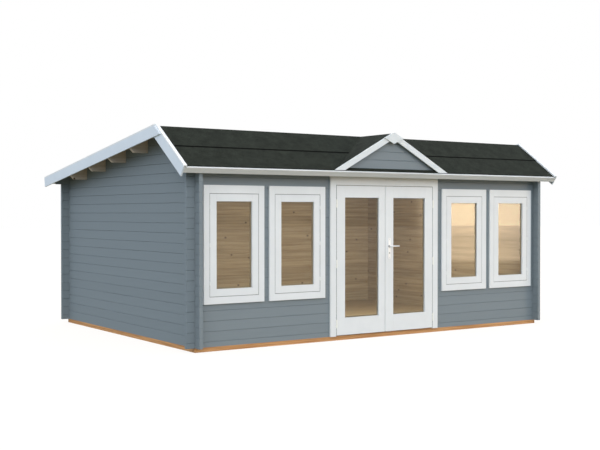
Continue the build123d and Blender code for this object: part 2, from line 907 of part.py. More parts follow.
def framed_window(center):
    """Outlines of one window as left, right, low, high: casing, opening in the logs, light and stop."""
    left, right = center - window_opening_half, center + window_opening_half
    opening = (left, right, sill_joint, head_joint)
    casing_low, casing_high = sill_joint - window_sill_lap, head_joint + window_head_lap
    casing = (left - window_lap, right + window_lap, casing_low, casing_high)
    light = (left + window_jamb, right - window_jamb, sill_joint + window_jamb, head_joint - window_head)
    return casing, opening, light


def shrink(box, amount):
    """A box of left, right, low, high drawn in by one amount on every side."""
    left, right, low, high = box
    return (left + amount, right - amount, low + amount, high - amount)


def sash_boxes(center):
    """Outline of a sash and of the glass that shows in it."""
    outer = shrink(framed_window(center)[2], sash_gap)
    left, right, low, high = outer
    return outer, (left + sash_stile, right - sash_stile, low + sash_bottom_rail, high - sash_stile)


def window_frame(center):
    """One window frame: casings outside and inside, and a lining with a stop behind the sash."""
    casing, opening, light = framed_window(center)
    stop = shrink(light, frame_stop)
    layers = (
        (casing, light, casing_face, front_face),
        (opening, light, front_face, sash_back),
        (opening, stop, sash_back, front_inside),
        (casing, stop, front_inside, inner_casing_face),
    )
    with BuildPart() as frame:
        for outer, inner, near, far in layers:
            with BuildSketch(Plane.XZ.offset(-near)):
                with Locations(((outer[0] + outer[1]) / 2, (outer[2] + outer[3]) / 2)):
                    Rectangle(outer[1] - outer[0], outer[3] - outer[2])
                with Locations(((inner[0] + inner[1]) / 2, (inner[2] + inner[3]) / 2)):
                    Rectangle(inner[1] - inner[0], inner[3] - inner[2], mode=Mode.SUBTRACT)
            extrude(amount=-(far - near))
    return frame


def window_pair(side, make):
    """Two of the same window piece beside each other on one side of the door."""
    with BuildPart() as pair:
        for center in window_centers:
            add(make(side * center).part)
    return pair


def sash(center):
    """One sash, fixed shut against the stop of its frame."""
    outer, opening = sash_boxes(center)
    return glazed_frame(outer, opening, sash_front, sash_thickness)


def window_pane(center):
    """The glass of one sash."""
    return pane(sash_boxes(center)[1], sash_front)


left_window_frames = window_pair(-1, window_frame)
right_window_frames = window_pair(1, window_frame)
left_window_sashes = window_pair(-1, sash)
right_window_sashes = window_pair(1, sash)
left_window_glass = window_pair(-1, window_pane)
right_window_glass = window_pair(1, window_pane)

pieces = {
    "long_bearers": long_bearers,
    "floor_joists": floor_joists,
    "floor_deck": floor_deck,
    "left_wall": left_wall,
    "right_wall": right_wall,
    "back_wall": back_wall,
    "back_header_logs": back_header_logs,
    "front_sill_logs": front_sill_logs,
    "front_corner_piers": front_corner_piers,
    "front_window_piers": front_window_piers,
    "front_door_piers": front_door_piers,
    "front_head_logs": front_head_logs,
    "front_header_logs": front_header_logs,
    "ridge_purlin": ridge_purlin,
    "purlins": purlins,
    "front_roof_boards": front_roof_boards,
    "rear_roof_boards": rear_roof_boards,
    "front_roof_felt": front_roof_felt,
    "rear_roof_felt": rear_roof_felt,
    "front_fascia": front_fascia,
    "rear_fascia": rear_fascia,
    "eaves_strips": eaves_strips,
    "left_front_bargeboard": left_front_bargeboard,
    "right_front_bargeboard": right_front_bargeboard,
    "left_rear_bargeboard": left_rear_bargeboard,
    "right_rear_bargeboard": right_rear_bargeboard,
    "front_verge_caps": front_verge_caps,
    "rear_verge_caps": rear_verge_caps,
    "dormer_left_boards": dormer_left_boards,
    "dormer_right_boards": dormer_right_boards,
    "dormer_felt": dormer_felt,
    "dormer_gable_panel": dormer_gable_panel,
    "dormer_left_bargeboard": dormer_left_bargeboard,
    "dormer_right_bargeboard": dormer_right_bargeboard,
    "dormer_apex_plate": dormer_apex_plate,
    "door_jambs": door_jambs,
    "door_head": door_head,
    "door_threshold": door_threshold,
    "left_door_leaf": left_door_leaf,
    "right_door_leaf": right_door_leaf,
    "left_door_glass": left_door_glass,
    "right_door_glass": right_door_glass,
    "frame_hinges": frame_hinges,
    "left_door_hinges": left_door_hinges,
    "right_door_hinges": right_door_hinges,
    "handle_plates": handle_plates,
    "door_lever": door_lever,
    "left_window_frames": left_window_frames,
    "right_window_frames": right_window_frames,
    "left_window_sashes": left_window_sashes,
    "right_window_sashes": right_window_sashes,
    "left_window_glass": left_window_glass,
    "right_window_glass": right_window_glass,
}

for name, piece in pieces.items():
    piece.part.label = name
    export_step(piece.part, f"parts/{name}.step")
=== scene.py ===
import json
import math

import bmesh
import bpy
from bpy.props import FloatProperty, FloatVectorProperty, IntProperty, PointerProperty
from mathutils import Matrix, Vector

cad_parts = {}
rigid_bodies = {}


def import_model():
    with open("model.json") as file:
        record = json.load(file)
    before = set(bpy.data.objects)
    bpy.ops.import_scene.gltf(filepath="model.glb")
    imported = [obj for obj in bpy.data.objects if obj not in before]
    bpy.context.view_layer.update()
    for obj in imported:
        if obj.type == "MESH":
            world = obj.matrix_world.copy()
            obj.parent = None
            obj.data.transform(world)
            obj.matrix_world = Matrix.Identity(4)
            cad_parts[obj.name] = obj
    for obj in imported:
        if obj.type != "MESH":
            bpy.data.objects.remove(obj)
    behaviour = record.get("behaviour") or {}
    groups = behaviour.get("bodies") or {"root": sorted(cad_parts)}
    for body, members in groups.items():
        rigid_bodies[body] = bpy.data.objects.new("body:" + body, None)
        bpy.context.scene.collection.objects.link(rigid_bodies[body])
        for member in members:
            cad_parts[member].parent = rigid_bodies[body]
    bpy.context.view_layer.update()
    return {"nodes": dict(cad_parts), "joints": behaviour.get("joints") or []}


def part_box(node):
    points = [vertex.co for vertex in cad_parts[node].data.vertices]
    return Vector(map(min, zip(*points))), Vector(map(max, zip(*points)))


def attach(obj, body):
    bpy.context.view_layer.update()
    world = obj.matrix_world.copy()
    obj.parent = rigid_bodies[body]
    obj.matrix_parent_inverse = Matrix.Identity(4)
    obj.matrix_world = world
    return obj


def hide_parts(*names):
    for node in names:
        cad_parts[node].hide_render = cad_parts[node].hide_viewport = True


bl_info = {
    "name": "Log garden house",
    "version": (1, 0, 0),
    "blender": (4, 5, 0),
    "location": "View3D > Sidebar > Log House",
    "description": "Dresses the frame of a log garden house with finishes, boards, felt and joinery",
    "category": "Object",
}

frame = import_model()


def linear(code):
    """An sRGB hex colour as linear red, green, blue and a full alpha."""
    parts = [int(code[k : k + 2], 16) / 255 for k in (1, 3, 5)]
    return tuple(((p + 0.055) / 1.055) ** 2.4 if p > 0.04045 else p / 12.92 for p in parts) + (1.0,)


# Settings that a user would change


def colour_setting(name, description, code):
    """A colour of a finish, from its sRGB hex code."""
    return FloatVectorProperty(
        name=name, description=description, subtype="COLOR", size=4, min=0, max=1, default=linear(code)
    )


def light_setting(name, description, default):
    """A linear colour of light, which may be brighter than white."""
    return FloatVectorProperty(
        name=name, description=description, subtype="COLOR", size=4, min=0, soft_max=10,
        default=(*default, 1.0),
    )


def length_setting(name, description, default):
    """A length in metres."""
    return FloatProperty(name=name, description=description, default=default, unit="LENGTH")


class LogHouseColours(bpy.types.PropertyGroup):
    """Colours of the finishes."""

    wall_paint: colour_setting("Wall paint", "Blue-grey paint of the logs outside", "#7D878C")
    # The fascias, bargeboards and false gable have one white paint; these copies of it hold painted light:
    # the fascias' is darker as painted shade under the eaves, the bargeboards' and false gable's bluer as
    # painted sky light
    fascia_white_painted_shade: colour_setting("Trim paint", "White paint of the fascias", "#DCDDDC")
    verge_white_painted_skylight: colour_setting("Verge paint", "Cool white paint of the bargeboards", "#DDE5EC")
    gable_white_painted_skylight: colour_setting("Gable paint", "White paint of the false gable's boards", "#DFE4E5")
    joinery_paint: colour_setting("Joinery paint", "White paint of the doors, windows and caps", "#E8EAEA")
    spruce: colour_setting("Spruce", "Early wood of the bare spruce", "#C0A881")
    spruce_grain: colour_setting("Spruce grain", "Late wood of the bare spruce", "#9C825A")
    knot: colour_setting("Knots", "Knots of the timber", "#50341C")
    purlin: colour_setting("Purlins", "Early wood of the purlins, greyed by the weather", "#DCCDBC")
    purlin_grain: colour_setting("Purlin grain", "Late wood of the purlins", "#C0B09E")
    bearer: colour_setting("Bearers", "Treated timber of the ground frame", "#DCA36A")
    bearer_grain: colour_setting("Bearer grain", "Grain of the treated timber", "#A06A38")
    felt: colour_setting("Felt", "Mineral grit on the roof felt", "#1E221C")
    felt_fleck: colour_setting("Felt flecks", "Paler grains in the grit", "#333730")


class LogHouseJoinery(bpy.types.PropertyGroup):
    """Sizes of the doors, windows and floor boards."""

    arris: length_setting("Eased edge", "Width taken off each sharp edge of a board", 0.0015)
    glass_rebate: length_setting("Glass rebate", "How far the glass runs into its frame", 0.010)
    sash_gap: length_setting("Sash gap", "Gap between a sash and its casing", 0.005)
    frame_stop: length_setting("Stop", "Height of the stop behind a leaf or sash", 0.015)
    bead: length_setting("Glazing bead", "Width of the bead that holds the glass from inside", 0.014)
    seal: length_setting("Seal", "Thickness of the rubber seal on a leaf or jamb", 0.002)
    seal_depth: length_setting("Seal depth", "How deep a seal reaches into its gap", 0.012)
    floor_board: length_setting("Floor board", "Cover width of a floor board", 0.121)
    floor_joint: length_setting("Floor joint", "Depth of the V between floor boards", 0.003)
    hinge_radius: length_setting("Window hinge radius", "Radius of a window hinge barrel", 0.0065)
    hinge_height: length_setting("Window hinge height", "Height of a window hinge barrel", 0.042)


class LogHouseRoof(bpy.types.PropertyGroup):
    """Sizes of the roof boards, felt and nails."""

    board: length_setting("Roof board", "Cover width of a roof board", 0.096)
    board_joint: length_setting("Board joint", "Depth of the V between roof boards", 0.004)
    gable_board: length_setting("Gable board", "Cover height of a board in the false gable", 0.104)
    front_courses: IntProperty(
        name="Front courses", description="Widths of felt on the front slope", default=2, min=1
    )
    rear_courses: IntProperty(
        name="Rear courses", description="Widths of felt on the rear slope", default=4, min=1
    )
    lap_height: length_setting("Lap height", "Thickness of the felt at a lap", 0.004)
    # The seam is a black strip that is pressed-out bitumen and painted shade under the lap's edge
    seam_and_shade_width: length_setting("Seam width", "Width of the bitumen pressed out of a lap", 0.020)
    nail_radius: length_setting("Nail radius", "Radius of a nail head in the trim", 0.004)
    nail_spacing: length_setting("Nail spacing", "Distance between nails along a board", 0.42)


class LogHouseStage(bpy.types.PropertyGroup):
    """Camera, floor and light."""

    eye: FloatVectorProperty(
        name="Camera place", description="Where the camera stands",
        subtype="TRANSLATION", size=3, default=(-7.938, -11.7305, 1.550),
    )
    aim: FloatVectorProperty(
        name="Camera turn", description="How the camera is turned",
        subtype="EULER", size=3, default=(math.radians(89.294), 0.0, math.radians(-34.129)),
    )
    lens: FloatProperty(name="Lens", description="Focal length in millimetres", default=60.22)
    floor_size: length_setting("Floor size", "Side of the floor", 160.0)
    key_way: FloatVectorProperty(
        name="Key direction", description="Level direction from the house to the key light",
        subtype="DIRECTION", size=3, default=(-0.6, -0.8, 0.0),
    )
    key: light_setting("Key light", "High soft light at the front left", (2.36, 2.42, 2.54))
    fill: light_setting("Fill light", "High soft light behind, opposite the key", (1.70, 1.72, 1.75))
    sky: light_setting("Sky", "Light from all round, above the ground", (0.70, 0.87, 1.12))
    zenith: light_setting("Zenith", "Light from straight above", (0.80, 0.78, 0.74))
    ground: light_setting("Ground", "Light from below", (0.27, 0.26, 0.19))
    glow: light_setting("Warm light", "Low warm light that the right windows mirror", (8.35, 6.55, 4.5))
    glow_foot_share: FloatProperty(
        name="Low glow", description="Share of the warm light in its lower part",
        default=0.64, min=0, max=1,
    )
    room_light: FloatProperty(
        name="Room light", description="Power of the soft light in the room", default=56.0, unit="POWER"
    )


# Small tools


def add_node(tree, kind, inputs=None, **settings):
    """Adds a node with its settings. An input takes a value, a socket, or a node for its first output."""
    node = tree.nodes.new(kind)
    for key, value in settings.items():
        setattr(node, key, value)
    for key, value in (inputs or {}).items():
        if isinstance(value, bpy.types.Node):
            value = next(socket for socket in value.outputs if socket.enabled)
        if isinstance(value, bpy.types.NodeSocket):
            tree.links.new(value, node.inputs[key])
        else:
            node.inputs[key].default_value = value
    return node


def new_material(name):
    """An empty node material and its tree."""
    material = bpy.data.materials.new(name)
    material.use_nodes = True
    material.node_tree.nodes.clear()
    return material, material.node_tree


def surface(material, inputs):
    """Ends a material with its shader, whose inputs are values or the nodes before it."""
    shader = add_node(material.node_tree, "ShaderNodeBsdfPrincipled", inputs)
    add_node(material.node_tree, "ShaderNodeOutputMaterial", {"Surface": shader})
    return material


def open_piece(name):
    """A new empty mesh at the origin, open in edit mode."""
    bpy.ops.object.select_all(action="DESELECT")
    bpy.ops.mesh.primitive_cube_add(size=1.0, enter_editmode=True)
    piece = bpy.context.active_object
    piece.name = name
    piece.data.name = name
    bpy.ops.mesh.delete(type="VERT")
    return piece


def close_piece(piece, material, body="house", stands_for=()):
    """Leaves edit mode, gives the piece its finish and lets it ride on its body."""
    if bpy.context.mode != "OBJECT":
        bpy.ops.object.mode_set(mode="OBJECT")
    piece.data.materials.clear()
    piece.data.materials.append(material)
    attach(piece, body)
    if stands_for:
        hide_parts(*stands_for)


def repeat(piece, count, step):
    """Copies what a piece holds in even steps, and leaves edit mode."""
    bpy.ops.object.mode_set(mode="OBJECT")
    rows = piece.modifiers.new("rows", "ARRAY")
    rows.count = count
    rows.use_relative_offset = False
    rows.use_constant_offset = True
    rows.constant_offset_displace = step
    bpy.ops.object.modifier_apply(modifier=rows.name)


def extremes(points):
    """Lowest and highest corner of the box round some points."""
    columns = list(zip(*points))
    return Vector([min(c) for c in columns]), Vector([max(c) for c in columns])


def add_board(corner, opposite, arris):
    """A board between two opposite corners, with its edges eased; its faces stay selected."""
    low, high = extremes((corner, opposite))
    bpy.ops.mesh.primitive_cube_add(size=1.0, location=(low + high) / 2, scale=high - low)
    bpy.ops.mesh.bevel(offset=arris, segments=2, affect="EDGES")
    bpy.ops.mesh.select_linked()


def add_rod(start, direction, length, radius, arris, sides=16):
    """A round rod from a point, with most of its edges eased; its faces stay selected."""
    axis = Vector(direction).normalized()
    middle = Vector(start) + axis * length / 2
    turn = axis.to_track_quat("Z", "Y").to_euler()
    bpy.ops.mesh.primitive_cylinder_add(
        vertices=sides, radius=radius, depth=length, location=middle, rotation=turn
    )
    # Deselecting a long edge also frees its corners, so which edges are left to ease follows the order
    # in which the mesh holds them
    mesh = bmesh.from_edit_mesh(bpy.context.active_object.data)
    for edge in mesh.edges:
        rim = any(len(face.verts) == sides for face in edge.link_faces)
        edge.select_set(edge.select and rim)
    mesh.select_flush_mode()
    bpy.ops.mesh.bevel(offset=arris, segments=2, affect="EDGES")
    bpy.ops.mesh.select_linked()


def solid_boxes(node):
    """Lowest and highest corner of each solid of a CAD node, from left to right."""
    bpy.ops.object.select_all(action="DESELECT")
    source = frame["nodes"][node]
    copy = bpy.data.objects.new("loose_copy", source.data.copy())
    bpy.context.scene.collection.objects.link(copy)
    bpy.context.view_layer.objects.active = copy
    copy.select_set(True)
    bpy.ops.object.mode_set(mode="EDIT")
    bpy.ops.mesh.select_all(action="SELECT")
    bpy.ops.mesh.remove_doubles(threshold=1e-5)
    bpy.ops.mesh.separate(type="LOOSE")
    bpy.ops.object.mode_set(mode="OBJECT")
    boxes = []
    for solid in list(bpy.context.selected_objects):
        boxes.append(extremes(solid.bound_box))
        bpy.data.objects.remove(solid)
    return sorted(boxes, key=lambda box: box[0].x)


def solid_boxes_of_open_piece(piece, node):
    """Solids of a node, read while a piece is open: the piece is closed meanwhile and opened again."""
    bpy.ops.object.mode_set(mode="OBJECT")
    boxes = solid_boxes(node)
    bpy.ops.object.select_all(action="DESELECT")
    bpy.context.view_layer.objects.active = piece
    piece.select_set(True)
    bpy.ops.object.mode_set(mode="EDIT")
    return boxes


def joint_place(name):
    """A point on the axis of a joint."""
    return next(joint["pos_m"] for joint in frame["joints"] if joint["name"] == name)


def outline(box):
    """Left, right, bottom and top of a box, seen from the front."""
    low, high = box
    return low.x, high.x, low.z, high.z


def inset(sides, width):
    """Left, right, bottom and top moved inward by a width, or outward if it is negative."""
    left, right, bottom, top = sides
    return left + width, right - width, bottom + width, top - width


class Slope:
    """One face of a roof layer: the line where it starts at the ridge, its pitch and its length."""

    def __init__(self, node, facing):
        mesh = frame["nodes"][node].data
        sides = [p for p in mesh.polygons if p.normal.z * facing > 0.5]
        face = max(sides, key=lambda p: p.area)
        anchor = mesh.vertices[face.vertices[0]].co
        on_face = [v.co for v in mesh.vertices if abs((v.co - anchor).dot(face.normal)) < 1e-5]
        top = max(on_face, key=lambda co: co.z)
        foot = min(on_face, key=lambda co: co.z)
        self.half = max(co.x for co in on_face)
        self.pivot = Vector((0.0, top.y, top.z))
        self.down = 1.0 if foot.y > top.y else -1.0
        self.pitch = math.atan2(top.z - foot.z, abs(foot.y - top.y))
        self.run = math.hypot(top.z - foot.z, foot.y - top.y)

    def flat(self, x, run, rise):
        """A point of the slope while it is still laid flat at the height of its ridge."""
        return Vector((x, self.pivot.y + self.down * run, self.pivot.z + rise))

    def point(self, x, run, rise):
        """A point of the slope in its place, by distances down from the ridge and above the face."""
        y = run * math.cos(self.pitch) + rise * math.sin(self.pitch)
        z = rise * math.cos(self.pitch) - run * math.sin(self.pitch)
        return self.pivot + Vector((x, self.down * y, z))

    def tip(self):
        """Turns what is selected from flat to the pitch of the slope."""
        bpy.ops.transform.rotate(
            value=self.down * self.pitch, orient_axis="X", center_override=self.pivot
        )

    def board(self, near, far, arris):
        """A board between two flat corners (x, run, rise), tipped to the slope."""
        add_board(self.flat(*near), self.flat(*far), arris)
        self.tip()


# Materials


def log_paint(name, axis, base, course, course_shift, inside):
    """Brushed wood paint outside, planed bare spruce inside, on logs along X (axis 0) or Y (axis 1)."""
    # The paint is a thin satin coat: it is even from log to log, with a trace of the grain, and darker
    # in the V between two logs, for the dust that stays there and as painted shade of the groove. The
    # spruce inside shows warm streaks of grain along the log, and brown knots.
    colours = bpy.context.scene.log_house_colours
    material, tree = new_material(name)
    place = add_node(tree, "ShaderNodeTexCoord").outputs["Object"]
    axes = add_node(tree, "ShaderNodeSeparateXYZ", {"Vector": place}).outputs
    # Grain bands 14 mm wide and half a metre long, coarser than spruce's own so that they show
    fine = [1 / 0.014] * 3
    fine[axis] = 1 / 0.5
    stretch = add_node(tree, "ShaderNodeMapping", {"Vector": place, "Scale": fine})
    grain = add_node(
        tree, "ShaderNodeTexNoise",
        {"Vector": stretch, "Scale": 1.0, "Detail": 5.0, "Roughness": 0.6, "Distortion": 0.4},
    )
    # Height in courses, and one tone for each log of the stack
    level = add_node(tree, "ShaderNodeMath", {0: axes["Z"], 1: base}, operation="SUBTRACT")
    count = add_node(tree, "ShaderNodeMath", {0: level, 1: course}, operation="DIVIDE")
    shifted = add_node(tree, "ShaderNodeMath", {0: count, 1: course_shift}, operation="ADD")
    number = add_node(tree, "ShaderNodeMath", {0: shifted}, operation="FLOOR")
    tone = add_node(tree, "ShaderNodeTexWhiteNoise", {"W": number}, noise_dimensions="1D")
    # The V between two logs reaches 4.2 mm up and down from their joint; the paint is darker there, as
    # dust and as painted shade
    off_joint = add_node(tree, "ShaderNodeMath", {0: shifted, 1: 0.5}, operation="PINGPONG")
    joint_dust_and_shade = add_node(
        tree, "ShaderNodeMapRange",
        {
            "Value": off_joint, "From Min": 0.0022 / course, "From Max": 0.0042 / course,
            "To Min": 0.88, "To Max": 1.0,
        },
    )
    # Paint: hardly lighter or darker by the log and the grain
    paint_value = add_node(tree, "ShaderNodeMapRange", {"Value": tone, "To Min": 0.985, "To Max": 1.015})
    grain_value = add_node(
        tree, "ShaderNodeMapRange",
        {"Value": grain, "From Min": 0.3, "From Max": 0.7, "To Min": 0.98, "To Max": 1.02},
    )
    both = add_node(tree, "ShaderNodeMath", {0: paint_value, 1: grain_value}, operation="MULTIPLY")
    dusty_and_shaded = add_node(tree, "ShaderNodeMath", {0: both, 1: joint_dust_and_shade}, operation="MULTIPLY")
    painted = add_node(tree, "ShaderNodeHueSaturation", {"Value": dusty_and_shaded, "Color": colours.wall_paint})
    # Bare spruce: streaks of late wood 34 mm high and 1.1 m long
    coarse = [1 / 0.034] * 3
    coarse[axis] = 1 / 1.1
    room_stretch = add_node(tree, "ShaderNodeMapping", {"Vector": place, "Scale": coarse})
    streaks = add_node(
        tree, "ShaderNodeTexNoise",
        {"Vector": room_stretch, "Scale": 1.0, "Detail": 4.0, "Roughness": 0.62, "Distortion": 0.3},
    )
    bands = add_node(tree, "ShaderNodeMapRange", {"Value": streaks, "From Min": 0.36, "From Max": 0.7})
    wood = add_node(
        tree, "ShaderNodeMix",
        {"Factor": bands, "A": colours.spruce, "B": colours.spruce_grain}, data_type="RGBA",
    )
    room_value = add_node(tree, "ShaderNodeMapRange", {"Value": tone, "To Min": 0.93, "To Max": 1.07})
    toned = add_node(tree, "ShaderNodeHueSaturation", {"Value": room_value, "Color": wood})
    # Knots about 38 mm long and 27 mm high, one to each 0.5 m by 0.36 m of wall
    knot_place = add_node(tree, "ShaderNodeCombineXYZ", {"X": axes[axis], "Y": axes["Z"]})
    knot_field = add_node(
        tree, "ShaderNodeMapping", {"Vector": knot_place, "Scale": (1 / 0.5, 1 / 0.36, 1.0)}
    )
    cells = add_node(
        tree, "ShaderNodeTexVoronoi", {"Vector": knot_field, "Scale": 1.0}, voronoi_dimensions="2D"
    )
    knot = add_node(
        tree, "ShaderNodeMapRange",
        {"Value": cells, "From Min": 0.06, "From Max": 0.015, "To Min": 0.0, "To Max": 0.75},
        interpolation_type="SMOOTHSTEP",
    )
    knotted = add_node(
        tree, "ShaderNodeMix", {"Factor": knot, "A": toned, "B": colours.knot}, data_type="RGBA"
    )
    # The room is everything between the middles of the four walls
    low, high = inside
    room = 1.0
    for way, limit, operation in (
        ("X", low.x, "GREATER_THAN"), ("X", high.x, "LESS_THAN"),
        ("Y", low.y, "GREATER_THAN"), ("Y", high.y, "LESS_THAN"),
    ):
        test = add_node(tree, "ShaderNodeMath", {0: axes[way], 1: limit}, operation=operation)
        room = add_node(tree, "ShaderNodeMath", {0: room, 1: test}, operation="MULTIPLY")
    colour = add_node(
        tree, "ShaderNodeMix", {"Factor": room, "A": painted, "B": knotted}, data_type="RGBA"
    )
    rough = add_node(tree, "ShaderNodeMapRange", {"Value": grain, "To Min": 0.5, "To Max": 0.68})
    bump = add_node(tree, "ShaderNodeBump", {"Height": grain, "Strength": 0.25, "Distance": 0.0008})
    return surface(material, {"Base Color": colour, "Roughness": rough, "Normal": bump})


def planed_timber(name, axis, light, dark):
    """Planed softwood with its grain along X (axis 0) or Y (axis 1)."""
    # Bands of late wood and a few knots give the timber its stripes.
    colours = bpy.context.scene.log_house_colours
    material, tree = new_material(name)
    place = add_node(tree, "ShaderNodeTexCoord").outputs["Object"]
    # Grain bands 12 mm wide and 0.6 m long, coarser than the wood's own so that they show
    stretch = [1 / 0.012] * 3
    stretch[axis] = 1 / 0.6
    scaled = add_node(tree, "ShaderNodeMapping", {"Vector": place, "Scale": stretch})
    grain = add_node(
        tree, "ShaderNodeTexNoise",
        {"Vector": scaled, "Scale": 1.0, "Detail": 6.0, "Roughness": 0.62, "Distortion": 0.5},
    )
    bands = add_node(tree, "ShaderNodeMapRange", {"Value": grain, "From Min": 0.34, "From Max": 0.68})
    wood = add_node(tree, "ShaderNodeMix", {"Factor": bands, "A": light, "B": dark}, data_type="RGBA")
    # Knots about 33 mm across, one to each 0.22 m of wood in every direction, so that few reach a face
    cells = add_node(tree, "ShaderNodeTexVoronoi", {"Vector": place, "Scale": 1 / 0.22})
    knot = add_node(
        tree, "ShaderNodeMapRange", {"Value": cells, "From Min": 0.10, "From Max": 0.05},
        interpolation_type="SMOOTHSTEP",
    )
    colour = add_node(
        tree, "ShaderNodeMix", {"Factor": knot, "A": wood, "B": colours.knot}, data_type="RGBA"
    )
    rough = add_node(tree, "ShaderNodeMapRange", {"Value": grain, "To Min": 0.5, "To Max": 0.72})
    bump = add_node(tree, "ShaderNodeBump", {"Height": grain, "Strength": 0.3, "Distance": 0.0008})
    return surface(material, {"Base Color": colour, "Roughness": rough, "Normal": bump})


def satin_white(name, paint, room_side=None):
    """White wood paint, brushed on: an even satin coat with faint brush marks."""
    # The marks only soften the highlights, and the tone drifts slightly from board to board.
    # Joinery is left bare on the room's side of its glass, where it has the tones of the room's wood.
    colours = bpy.context.scene.log_house_colours
    material, tree = new_material(name)
    place = add_node(tree, "ShaderNodeTexCoord").outputs["Object"]
    # Tone changes over about 0.3 m, brush marks 3 mm wide
    drift = add_node(tree, "ShaderNodeTexNoise", {"Vector": place, "Scale": 1 / 0.3, "Detail": 3.0})
    value = add_node(
        tree, "ShaderNodeMapRange",
        {"Value": drift, "From Min": 0.3, "From Max": 0.7, "To Min": 0.97, "To Max": 1.02},
    )
    colour = add_node(tree, "ShaderNodeHueSaturation", {"Value": value, "Color": paint})
    marks = add_node(tree, "ShaderNodeTexNoise", {"Vector": place, "Scale": 1 / 0.003, "Detail": 2.0})
    if room_side is not None:
        wood = add_node(
            tree, "ShaderNodeMix",
            {"Factor": drift, "A": colours.spruce, "B": colours.spruce_grain}, data_type="RGBA",
        )
        y = add_node(tree, "ShaderNodeSeparateXYZ", {"Vector": place}).outputs["Y"]
        bare = add_node(tree, "ShaderNodeMath", {0: y, 1: room_side}, operation="GREATER_THAN")
        colour = add_node(
            tree, "ShaderNodeMix", {"Factor": bare, "A": colour, "B": wood}, data_type="RGBA"
        )
    rough = add_node(tree, "ShaderNodeMapRange", {"Value": marks, "To Min": 0.38, "To Max": 0.5})
    bump = add_node(tree, "ShaderNodeBump", {"Height": marks, "Strength": 0.08, "Distance": 0.0005})
    return surface(material, {"Base Color": colour, "Roughness": rough, "Normal": bump})


def mineral_felt():
    """Bitumen felt with slate grit pressed into it: dark, dead matt and finely mottled."""
    # The grit is 1 mm; it is drawn as 9 mm flecks so that the mottling shows from a distance.
    colours = bpy.context.scene.log_house_colours
    material, tree = new_material("mineral_felt")
    place = add_node(tree, "ShaderNodeTexCoord").outputs["Object"]
    flecks = add_node(
        tree, "ShaderNodeTexNoise",
        {"Vector": place, "Scale": 1 / 0.009, "Detail": 4.0, "Roughness": 0.7},
    )
    # Patches 110 mm wide where the grit lies thicker or thinner
    patches = add_node(
        tree, "ShaderNodeTexNoise",
        {"Vector": place, "Scale": 1 / 0.11, "Detail": 4.0, "Roughness": 0.6},
    )
    spread = add_node(tree, "ShaderNodeMapRange", {"Value": flecks, "From Min": 0.38, "From Max": 0.72})
    grit = add_node(
        tree, "ShaderNodeMix",
        {"Factor": spread, "A": colours.felt, "B": colours.felt_fleck}, data_type="RGBA",
    )
    value = add_node(
        tree, "ShaderNodeMapRange",
        {"Value": patches, "From Min": 0.3, "From Max": 0.7, "To Min": 0.72, "To Max": 1.28},
    )
    colour = add_node(tree, "ShaderNodeHueSaturation", {"Value": value, "Color": grit})
    bump = add_node(tree, "ShaderNodeBump", {"Height": flecks, "Strength": 0.5, "Distance": 0.001})
    return surface(
        material,
        {"Base Color": colour, "Roughness": 0.92, "Specular IOR Level": 0.12, "Normal": bump},
    )


def float_glass():
    """Clear float glass: see-through, with sharp reflections at a slant."""
    material, _ = new_material("float_glass")
    return surface(
        material,
        {"Base Color": linear("#F4F8F6"), "Roughness": 0.0, "IOR": 1.5, "Transmission Weight": 1.0},
    )


def coated_steel(name, colour, rough):
    """Powder-coated steel: a smooth even coat with a fine orange peel."""
    material, tree = new_material(name)
    place = add_node(tree, "ShaderNodeTexCoord").outputs["Object"]
    # Orange peel 2 mm wide
    peel = add_node(tree, "ShaderNodeTexNoise", {"Vector": place, "Scale": 1 / 0.002})
    bump = add_node(tree, "ShaderNodeBump", {"Height": peel, "Strength": 0.1, "Distance": 0.0002})
    return surface(material, {"Base Color": colour, "Roughness": rough, "Normal": bump})


def brushed_metal(name, colour, rough):
    """Satin metal, brushed across: soft stretched highlights."""
    material, tree = new_material(name)
    place = add_node(tree, "ShaderNodeTexCoord").outputs["Object"]
    # Brush lines 0.4 mm wide and 30 mm long
    lines = add_node(
        tree, "ShaderNodeMapping", {"Vector": place, "Scale": (1 / 0.03, 1 / 0.0004, 1 / 0.0004)}
    )
    brush = add_node(tree, "ShaderNodeTexNoise", {"Vector": lines, "Scale": 1.0})
    spread = add_node(
        tree, "ShaderNodeMapRange", {"Value": brush, "To Min": rough - 0.06, "To Max": rough + 0.06}
    )
    return surface(material, {"Base Color": colour, "Metallic": 1.0, "Roughness": spread})


def pressed_bitumen_and_lap_shade():
    """Bitumen pressed out of a felt lap, black and dead matt with dust; its strip also stands as painted
    shade under the lap.
    """
    material, tree = new_material("pressed_bitumen_and_lap_shade")
    place = add_node(tree, "ShaderNodeTexCoord").outputs["Object"]
    # Lumps 20 mm wide
    lumps = add_node(tree, "ShaderNodeTexNoise", {"Vector": place, "Scale": 1 / 0.02})
    rough = add_node(tree, "ShaderNodeMapRange", {"Value": lumps, "To Min": 0.85, "To Max": 0.98})
    bump = add_node(tree, "ShaderNodeBump", {"Height": lumps, "Strength": 0.4, "Distance": 0.002})
    return surface(
        material,
        {
            "Base Color": linear("#0B0B0A"), "Roughness": rough,
            "Specular IOR Level": 0.05, "Normal": bump,
        },
    )


finishes = {}


